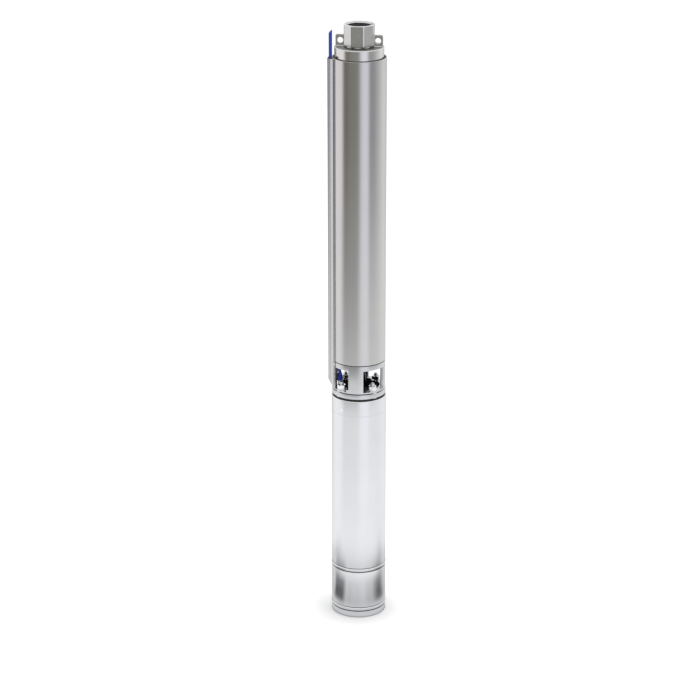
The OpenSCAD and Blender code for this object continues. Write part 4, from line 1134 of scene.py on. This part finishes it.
def weld_tree():
    """Geometry nodes for a weld bead: a tube along a line whose radius ripples."""
    tree, given = start_tree("weld_bead", {
        "Start": "Vector", "End": "Vector", "Bead radius": "Float", "Ripple pitch": "Float",
        "Steel": "Material",
    })
    seam = add_node(
        tree, "GeometryNodeCurvePrimitiveLine", {}, {"Start": given["Start"], "End": given["End"]}
    )
    points = add_node(tree, "GeometryNodeResampleCurve", {"Count": 64}, {"Curve": seam.outputs["Curve"]})
    way = add_node(tree, "GeometryNodeSplineParameter")
    turns = add_node(
        tree, "ShaderNodeMath", {"operation": "DIVIDE"}, {0: way.outputs["Length"], 1: given["Ripple pitch"]}
    )
    angle = add_node(
        tree, "ShaderNodeMath", {"operation": "MULTIPLY", 1: 2 * math.pi}, {0: turns.outputs["Value"]}
    )
    wave = add_node(tree, "ShaderNodeMath", {"operation": "SINE"}, {0: angle.outputs["Value"]})
    ripple = add_node(
        tree, "ShaderNodeMath", {"operation": "MULTIPLY_ADD", 1: 0.14, 2: 1.0}, {0: wave.outputs["Value"]}
    )
    radius = add_node(
        tree, "ShaderNodeMath", {"operation": "MULTIPLY"},
        {0: ripple.outputs["Value"], 1: given["Bead radius"]},
    )
    rippled = add_node(
        tree, "GeometryNodeSetCurveRadius", {},
        {"Curve": points.outputs["Curve"], "Radius": radius.outputs["Value"]},
    )
    round_section = add_node(tree, "GeometryNodeCurvePrimitiveCircle", {"Resolution": 16, "Radius": 1.0})
    swept = add_node(
        tree, "GeometryNodeCurveToMesh", {"Fill Caps": True},
        {
            "Curve": rippled.outputs["Curve"], "Profile Curve": round_section.outputs["Curve"],
            "Scale": radius.outputs["Value"],
        },
    )
    return end_tree(tree, swept.outputs["Mesh"], given["Steel"])


weld_bead = weld_tree()
weld_lines = (
    ((25.5, lug_foot + 0.2), (40.2, lug_foot + 0.2)),
    ((25.0, lug_foot + 2.5), (25.0, eye_top - 0.3)),
)
lugs = []
welds = []
for side in (1, -1):
    plate = bmesh.new()
    outline = eased([
        (lug_in_x, lug_foot), (lug_out_x, lug_foot), (lug_out_x, eye_top, 3.0), (lug_in_x, eye_top),
    ], 6)
    front = [plate.verts.new((side * p.x, -lug_half_t, p.y)) for p in outline]
    back = [plate.verts.new((side * p.x, lug_half_t, p.y)) for p in outline]
    plate.faces.new(front)
    plate.faces.new(back[::-1])
    for k in range(len(outline)):
        on = (k + 1) % len(outline)
        plate.faces.new((front[k], back[k], back[on], front[on]))
    lug = finish_shell(f"lug_{side}", plate)
    hole = Vector((side * eye_hole_x, 0, eye_hole_z))
    machine(lug, [round_bar(eye_hole_r, hole - Vector((0, 4, 0)), hole + Vector((0, 4, 0)))])
    lugs.append(lug)
    for across in (-lug_half_t, lug_half_t):
        for start, end in weld_lines:
            welds.append(grow("weld", weld_bead, {
                "Start": Vector((side * start[0], across, start[1])) * 0.001,
                "End": Vector((side * end[0], across, end[1])) * 0.001,
                "Bead radius": 0.0011, "Ripple pitch": 0.0013, "Steel": cast_head,
            }))
eyes = lugs[0]
eyes.name = "rope_eye_lugs"
join(eyes, *lugs[1:])
break_edges(eyes, 0.5)
eyes.data.materials.append(plate_steel)
weld_set = welds[0]
weld_set.name = "rope_eye_welds"
join(weld_set, *welds[1:])
for piece in (eyes, weld_set):
    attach(piece, "housing")
    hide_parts("rope_eyes")

# Non-return valve
# Turned and pressed stainless parts that show only down through the port: seat, guide and cone.
# The cone carries a moulded rubber ring, dressed with the other rubber above.
dress(pressed_steel, "valve_seat", "valve_guide")
dress(turned_steel, "valve_cone")

# Valve spring
# Five turns of stainless wire round the cone's stem, between its collar and the underside of the guide's hub.
collar_z = 948.0
guide_hub_z = 971.0
spring_turns = 5
spring_wire_r = 0.6
spring_gap = 0.1
spring_rise = guide_hub_z - collar_z - 2 * (spring_wire_r + spring_gap)
spring = grow("valve_spring_coil", helix_sweep, {
    "Helix radius": 0.007, "Pitch": spring_rise / spring_turns * 0.001, "Turns": float(spring_turns),
    "Section size": spring_wire_r * 0.001, "Section sides": 16, "Section turn": 0.0,
    "Start height": (collar_z + spring_gap + spring_wire_r) * 0.001, "Steel": bright_steel,
})
spring.data.shade_smooth()
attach(spring, "housing")
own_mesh(spring)
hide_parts("valve_spring")

# Studio
# A plain white floor and white surround with soft overhead light. To reflections alone the floor shows a
# painted pattern: painted reflections of grey and white cards round the pump and painted shade at its foot.
painted_card_tones = (
    (-180.0, "A0A0A0"), (-166.0, "6C6C6C"), (-144.0, "6C6C6C"), (-124.0, "F8F6F6"), (-78.0, "FAF6F6"),
    (-64.0, "756E68"), (-50.0, "7A746C"), (-40.0, "87867E"), (-4.0, "8E8F88"), (12.0, "EBEBF8"),
    (24.0, "F2F2FC"), (35.0, "F0F0F8"), (47.0, "9A9CA0"), (66.0, "A4A6A5"), (92.0, "D2D2D2"),
    (116.0, "F2F2F2"), (130.0, "F0F0F0"), (142.0, "E2E2E2"), (160.0, "D0D0D0"), (180.0, "A0A0A0"),
)
# Painted reflection tones nearer the pump: white, with painted shade a little darker behind it
painted_near_tones = (
    (-180.0, "E0E0E0"), (-150.0, "EFEFEF"), (-137.0, "F4F4F4"), (-126.0, "F7F7F7"), (-112.0, "FEFEFF"),
    (60.0, "FEFEFF"), (85.0, "F9F9F9"), (133.0, "F8F8F8"), (146.0, "F0F0F0"), (160.0, "EAEAEA"),
    (180.0, "E0E0E0"),
)
# Painted reflection of a dark card on the left that stands closer than the others
painted_card_reach = 4.2
painted_close_card_tones = (
    (-180.0, "FFFFFF"), (-90.0, "FFFFFF"), (-76.0, "E2E2E2"), (-62.0, "D2D2D2"), (-14.0, "D2D2D2"),
    (6.0, "FFFFFF"), (180.0, "FFFFFF"),
)
painted_close_card_by_reach = (
    (0.08, "595959"), (0.2, "707070"), (0.235, "404040"), (0.265, "000000"), (0.3, "505050"),
    (0.33, "A8A8A8"), (0.37, "D0D0D0"), (0.44, "F0F0F0"), (0.55, "FAFAFA"), (0.68, "CBCBCB"),
    (0.826, "898989"), (1.0, "505050"),
)
# Painted shade in the floor's reflections: the pump's own soft shade close to its foot, deeper on its left
# and right
shade_reach = 0.5
shade_by_reach = (
    (0.096, "A0A0A0"), (0.112, "D8D8D9"), (0.16, "D8D8D8"), (0.24, "CACACA"), (0.34, "D8D8D8"),
    (0.5, "DEDEDE"), (0.58, "E6E6E6"), (0.66, "FFFFFF"),
)
side_shade_tones = (
    (-180.0, "FFFFFF"), (-110.0, "FFFFFF"), (-97.0, "6C6C6C"), (-62.0, "707070"), (-46.0, "FFFFFF"),
    (-36.0, "EEEEEE"), (-18.0, "FCFCFC"), (-4.0, "F7F7F7"), (10.0, "FFFFFF"), (20.0, "FFFFFF"),
    (34.0, "E9E9E9"), (50.0, "EAEAEA"), (64.0, "B0B0B0"), (76.0, "7C7C7C"), (91.0, "7C7C7C"),
    (101.0, "C0C0C0"), (116.0, "FFFFFF"), (180.0, "FFFFFF"),
)
side_shade_by_reach = (
    (0.18, "000000"), (0.23, "F4F4F4"), (0.31, "FFFFFF"), (0.37, "F2F2F2"), (0.45, "ECECEC"),
    (0.51, "D8D8D8"), (0.55, "808080"), (0.59, "000000"),
)
# Farther out, what shows above the upper bead, that painted shade is slimmer
slim_shade_tones = (
    (-180.0, "FFFFFF"), (-118.0, "FFFFFF"), (-106.0, "707070"), (-84.0, "707070"), (-70.0, "FFFFFF"),
    (76.0, "FFFFFF"), (87.0, "707070"), (102.0, "707070"), (114.0, "FFFFFF"), (180.0, "FFFFFF"),
)
slim_shade_by_reach = ((0.54, "000000"), (0.6, "A0A0A0"), (0.68, "7C7C7C"), (0.73, "303030"), (0.8, "000000"))


def set_stops(ramp, stops):
    """Gives a colour ramp its tones, each at a place from 0 to 1."""
    marks = ramp.color_ramp.elements
    while len(marks) < len(stops):
        marks.new(0.5)
    for mark, (place, tone) in zip(marks, stops):
        mark.position = place
        mark.color = linear(tone)


def tones_round_pump(tree, place, tones):
    """Tones by their direction round the pump, in degrees from the camera's, as a colour output."""
    split = add_node(tree, "ShaderNodeSeparateXYZ", {}, {"Vector": place}).outputs
    front = add_node(tree, "ShaderNodeMath", {"operation": "MULTIPLY", 1: -1.0}, {0: split["Y"]})
    angle = add_node(
        tree, "ShaderNodeMath", {"operation": "ARCTAN2"}, {0: split["X"], 1: front.outputs["Value"]}
    )
    offset = add_node(
        tree, "ShaderNodeMath", {"operation": "SUBTRACT", 1: camera_azimuth}, {0: angle.outputs["Value"]}
    )
    share = add_node(
        tree, "ShaderNodeMath", {"operation": "MULTIPLY_ADD", 1: 0.5 / math.pi, 2: 0.5},
        {0: offset.outputs["Value"]},
    )
    wrapped = add_node(tree, "ShaderNodeMath", {"operation": "FRACT"}, {0: share.outputs["Value"]})
    ramp = add_node(tree, "ShaderNodeValToRGB", {}, {"Fac": wrapped.outputs["Value"]})
    set_stops(ramp, [(direction / 360 + 0.5, tone) for direction, tone in tones])
    return ramp.outputs["Color"]


def tones_by_reach(tree, reach, full_reach, stops):
    """Tones by their distance from the pump's axis, as shares of a reach in metres, as a colour output."""
    share = add_node(tree, "ShaderNodeMath", {"operation": "DIVIDE", 1: full_reach}, {0: reach})
    ramp = add_node(tree, "ShaderNodeValToRGB", {}, {"Fac": share.outputs["Value"]})
    set_stops(ramp, stops)
    return ramp.outputs["Color"]


floor_r = 14000.0
floor_shell = bmesh.new()
bmesh.ops.create_circle(floor_shell, cap_ends=True, segments=96, radius=floor_r)
floor = finish_shell("studio_floor", floor_shell)
floor_paint = bpy.data.materials.new("white_studio_floor")
floor_paint.use_nodes = True
floor_tree = floor_paint.node_tree
floor_tree.nodes.clear()
floor_place = add_node(floor_tree, "ShaderNodeTexCoord").outputs["Object"]
floor_way = add_node(floor_tree, "ShaderNodeVectorMath", {"operation": "LENGTH"}, {0: floor_place})
reach = floor_way.outputs["Value"]
far = add_node(floor_tree, "ShaderNodeMapRange", {"From Min": 0.4, "From Max": 4.0}, {"Value": reach})
card_reflections = add_node(
    floor_tree, "ShaderNodeMix", {"data_type": "RGBA"},
    {
        "Factor": far.outputs["Result"], 6: tones_round_pump(floor_tree, floor_place, painted_near_tones),
        7: tones_round_pump(floor_tree, floor_place, painted_card_tones),
    },
)
foot_shade = tones_by_reach(floor_tree, reach, shade_reach, shade_by_reach)
# Painted reflections: the cards' tones and the painted shade, shown to reflections only
painted_reflection_tone = add_node(
    floor_tree, "ShaderNodeMix", {"data_type": "RGBA", "blend_type": "MULTIPLY", "Factor": 1.0},
    {6: card_reflections.outputs[2], 7: foot_shade},
)
for tones, full_reach, by_reach in (
    (painted_close_card_tones, painted_card_reach, painted_close_card_by_reach), (side_shade_tones, shade_reach, side_shade_by_reach),
    (slim_shade_tones, shade_reach, slim_shade_by_reach),
):
    painted_reflection_tone = add_node(
        floor_tree, "ShaderNodeMix", {"data_type": "RGBA", "blend_type": "MULTIPLY"},
        {
            "Factor": tones_by_reach(floor_tree, reach, full_reach, by_reach), 6: painted_reflection_tone.outputs[2],
            7: tones_round_pump(floor_tree, floor_place, tones),
        },
    )
painted_reflection = add_node(floor_tree, "ShaderNodeEmission", {}, {"Color": painted_reflection_tone.outputs[2]})
matt = add_node(floor_tree, "ShaderNodeBsdfDiffuse", {"Color": linear("EDEDED")})
# Painted shadow: the floor glows less close to the foot, deepening the pump's soft shadow there
foot_painted_shadow = add_node(
    floor_tree, "ShaderNodeMapRange",
    {"interpolation_type": "SMOOTHSTEP", "From Min": 0.03, "From Max": 0.14, "To Min": 0.05, "To Max": 0.32},
    {"Value": reach},
)
glow = add_node(floor_tree, "ShaderNodeEmission", {}, {"Strength": foot_painted_shadow.outputs["Result"]})
seen = add_node(floor_tree, "ShaderNodeAddShader", {}, {0: glow.outputs[0], 1: matt.outputs[0]})
rays = add_node(floor_tree, "ShaderNodeLightPath").outputs
lit = add_node(
    floor_tree, "ShaderNodeMixShader", {}, {0: rays["Is Camera Ray"], 1: matt.outputs[0], 2: seen.outputs[0]}
)
shown = add_node(
    floor_tree, "ShaderNodeMixShader", {},
    {0: rays["Is Glossy Ray"], 1: lit.outputs[0], 2: painted_reflection.outputs[0]},
)
add_node(floor_tree, "ShaderNodeOutputMaterial", {}, {"Surface": shown.outputs[0]})
floor.data.materials.append(floor_paint)
floor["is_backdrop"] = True

surround = bpy.data.worlds.new("white_surround")
surround.use_nodes = True
surround_tree = surround.node_tree
surround_tree.nodes.clear()
sky_place = add_node(surround_tree, "ShaderNodeTexCoord").outputs["Generated"]
height = add_node(surround_tree, "ShaderNodeSeparateXYZ", {}, {"Vector": sky_place}).outputs["Z"]
climb = add_node(
    surround_tree, "ShaderNodeMapRange",
    {"interpolation_type": "SMOOTHSTEP", "From Min": 0.02, "From Max": 0.3}, {"Value": height},
)
# Painted reflections: low round the horizon the surround shows the cards' tones to reflections only
sky = add_node(
    surround_tree, "ShaderNodeMix", {"data_type": "RGBA", 7: linear("F4F4F5")},
    {"Factor": climb.outputs["Result"], 6: tones_round_pump(surround_tree, sky_place, painted_card_tones)},
)
ambient = add_node(surround_tree, "ShaderNodeBackground", {"Color": linear("FFFFFF"), "Strength": 0.8})
reflected = add_node(surround_tree, "ShaderNodeBackground", {"Strength": 1.0}, {"Color": sky.outputs[2]})
backdrop = add_node(surround_tree, "ShaderNodeBackground", {"Color": linear("FFFFFF"), "Strength": 1.0})
sky_rays = add_node(surround_tree, "ShaderNodeLightPath").outputs
sky_lit = add_node(
    surround_tree, "ShaderNodeMixShader", {},
    {0: sky_rays["Is Camera Ray"], 1: ambient.outputs[0], 2: backdrop.outputs[0]},
)
sky_shown = add_node(
    surround_tree, "ShaderNodeMixShader", {},
    {0: sky_rays["Is Glossy Ray"], 1: sky_lit.outputs[0], 2: reflected.outputs[0]},
)
add_node(surround_tree, "ShaderNodeOutputWorld", {}, {"Surface": sky_shown.outputs[0]})
bpy.context.scene.world = surround

for name, place, size, watts in (
    ("overhead_softbox", (0.1, 0.3, 3.7), 2.4, 45.0),
    ("side_softbox", (2.6, -1.6, 2.2), 1.6, 12.0),
):
    lamp = bpy.data.lights.new(name, "AREA")
    lamp.shape = "DISK"
    lamp.size = size
    lamp.energy = watts
    softbox = bpy.data.objects.new(name, lamp)
    softbox.location = place
    softbox.rotation_euler = (Vector((0, 0, 0.5)) - Vector(place)).to_track_quat("-Z", "Y").to_euler()
    softbox.visible_glossy = False
    bpy.context.scene.collection.objects.link(softbox)

bpy.context.scene.view_settings.view_transform = "Standard"

# Sizes
# The box round every piece that is shown, the floor left out.
low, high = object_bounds()
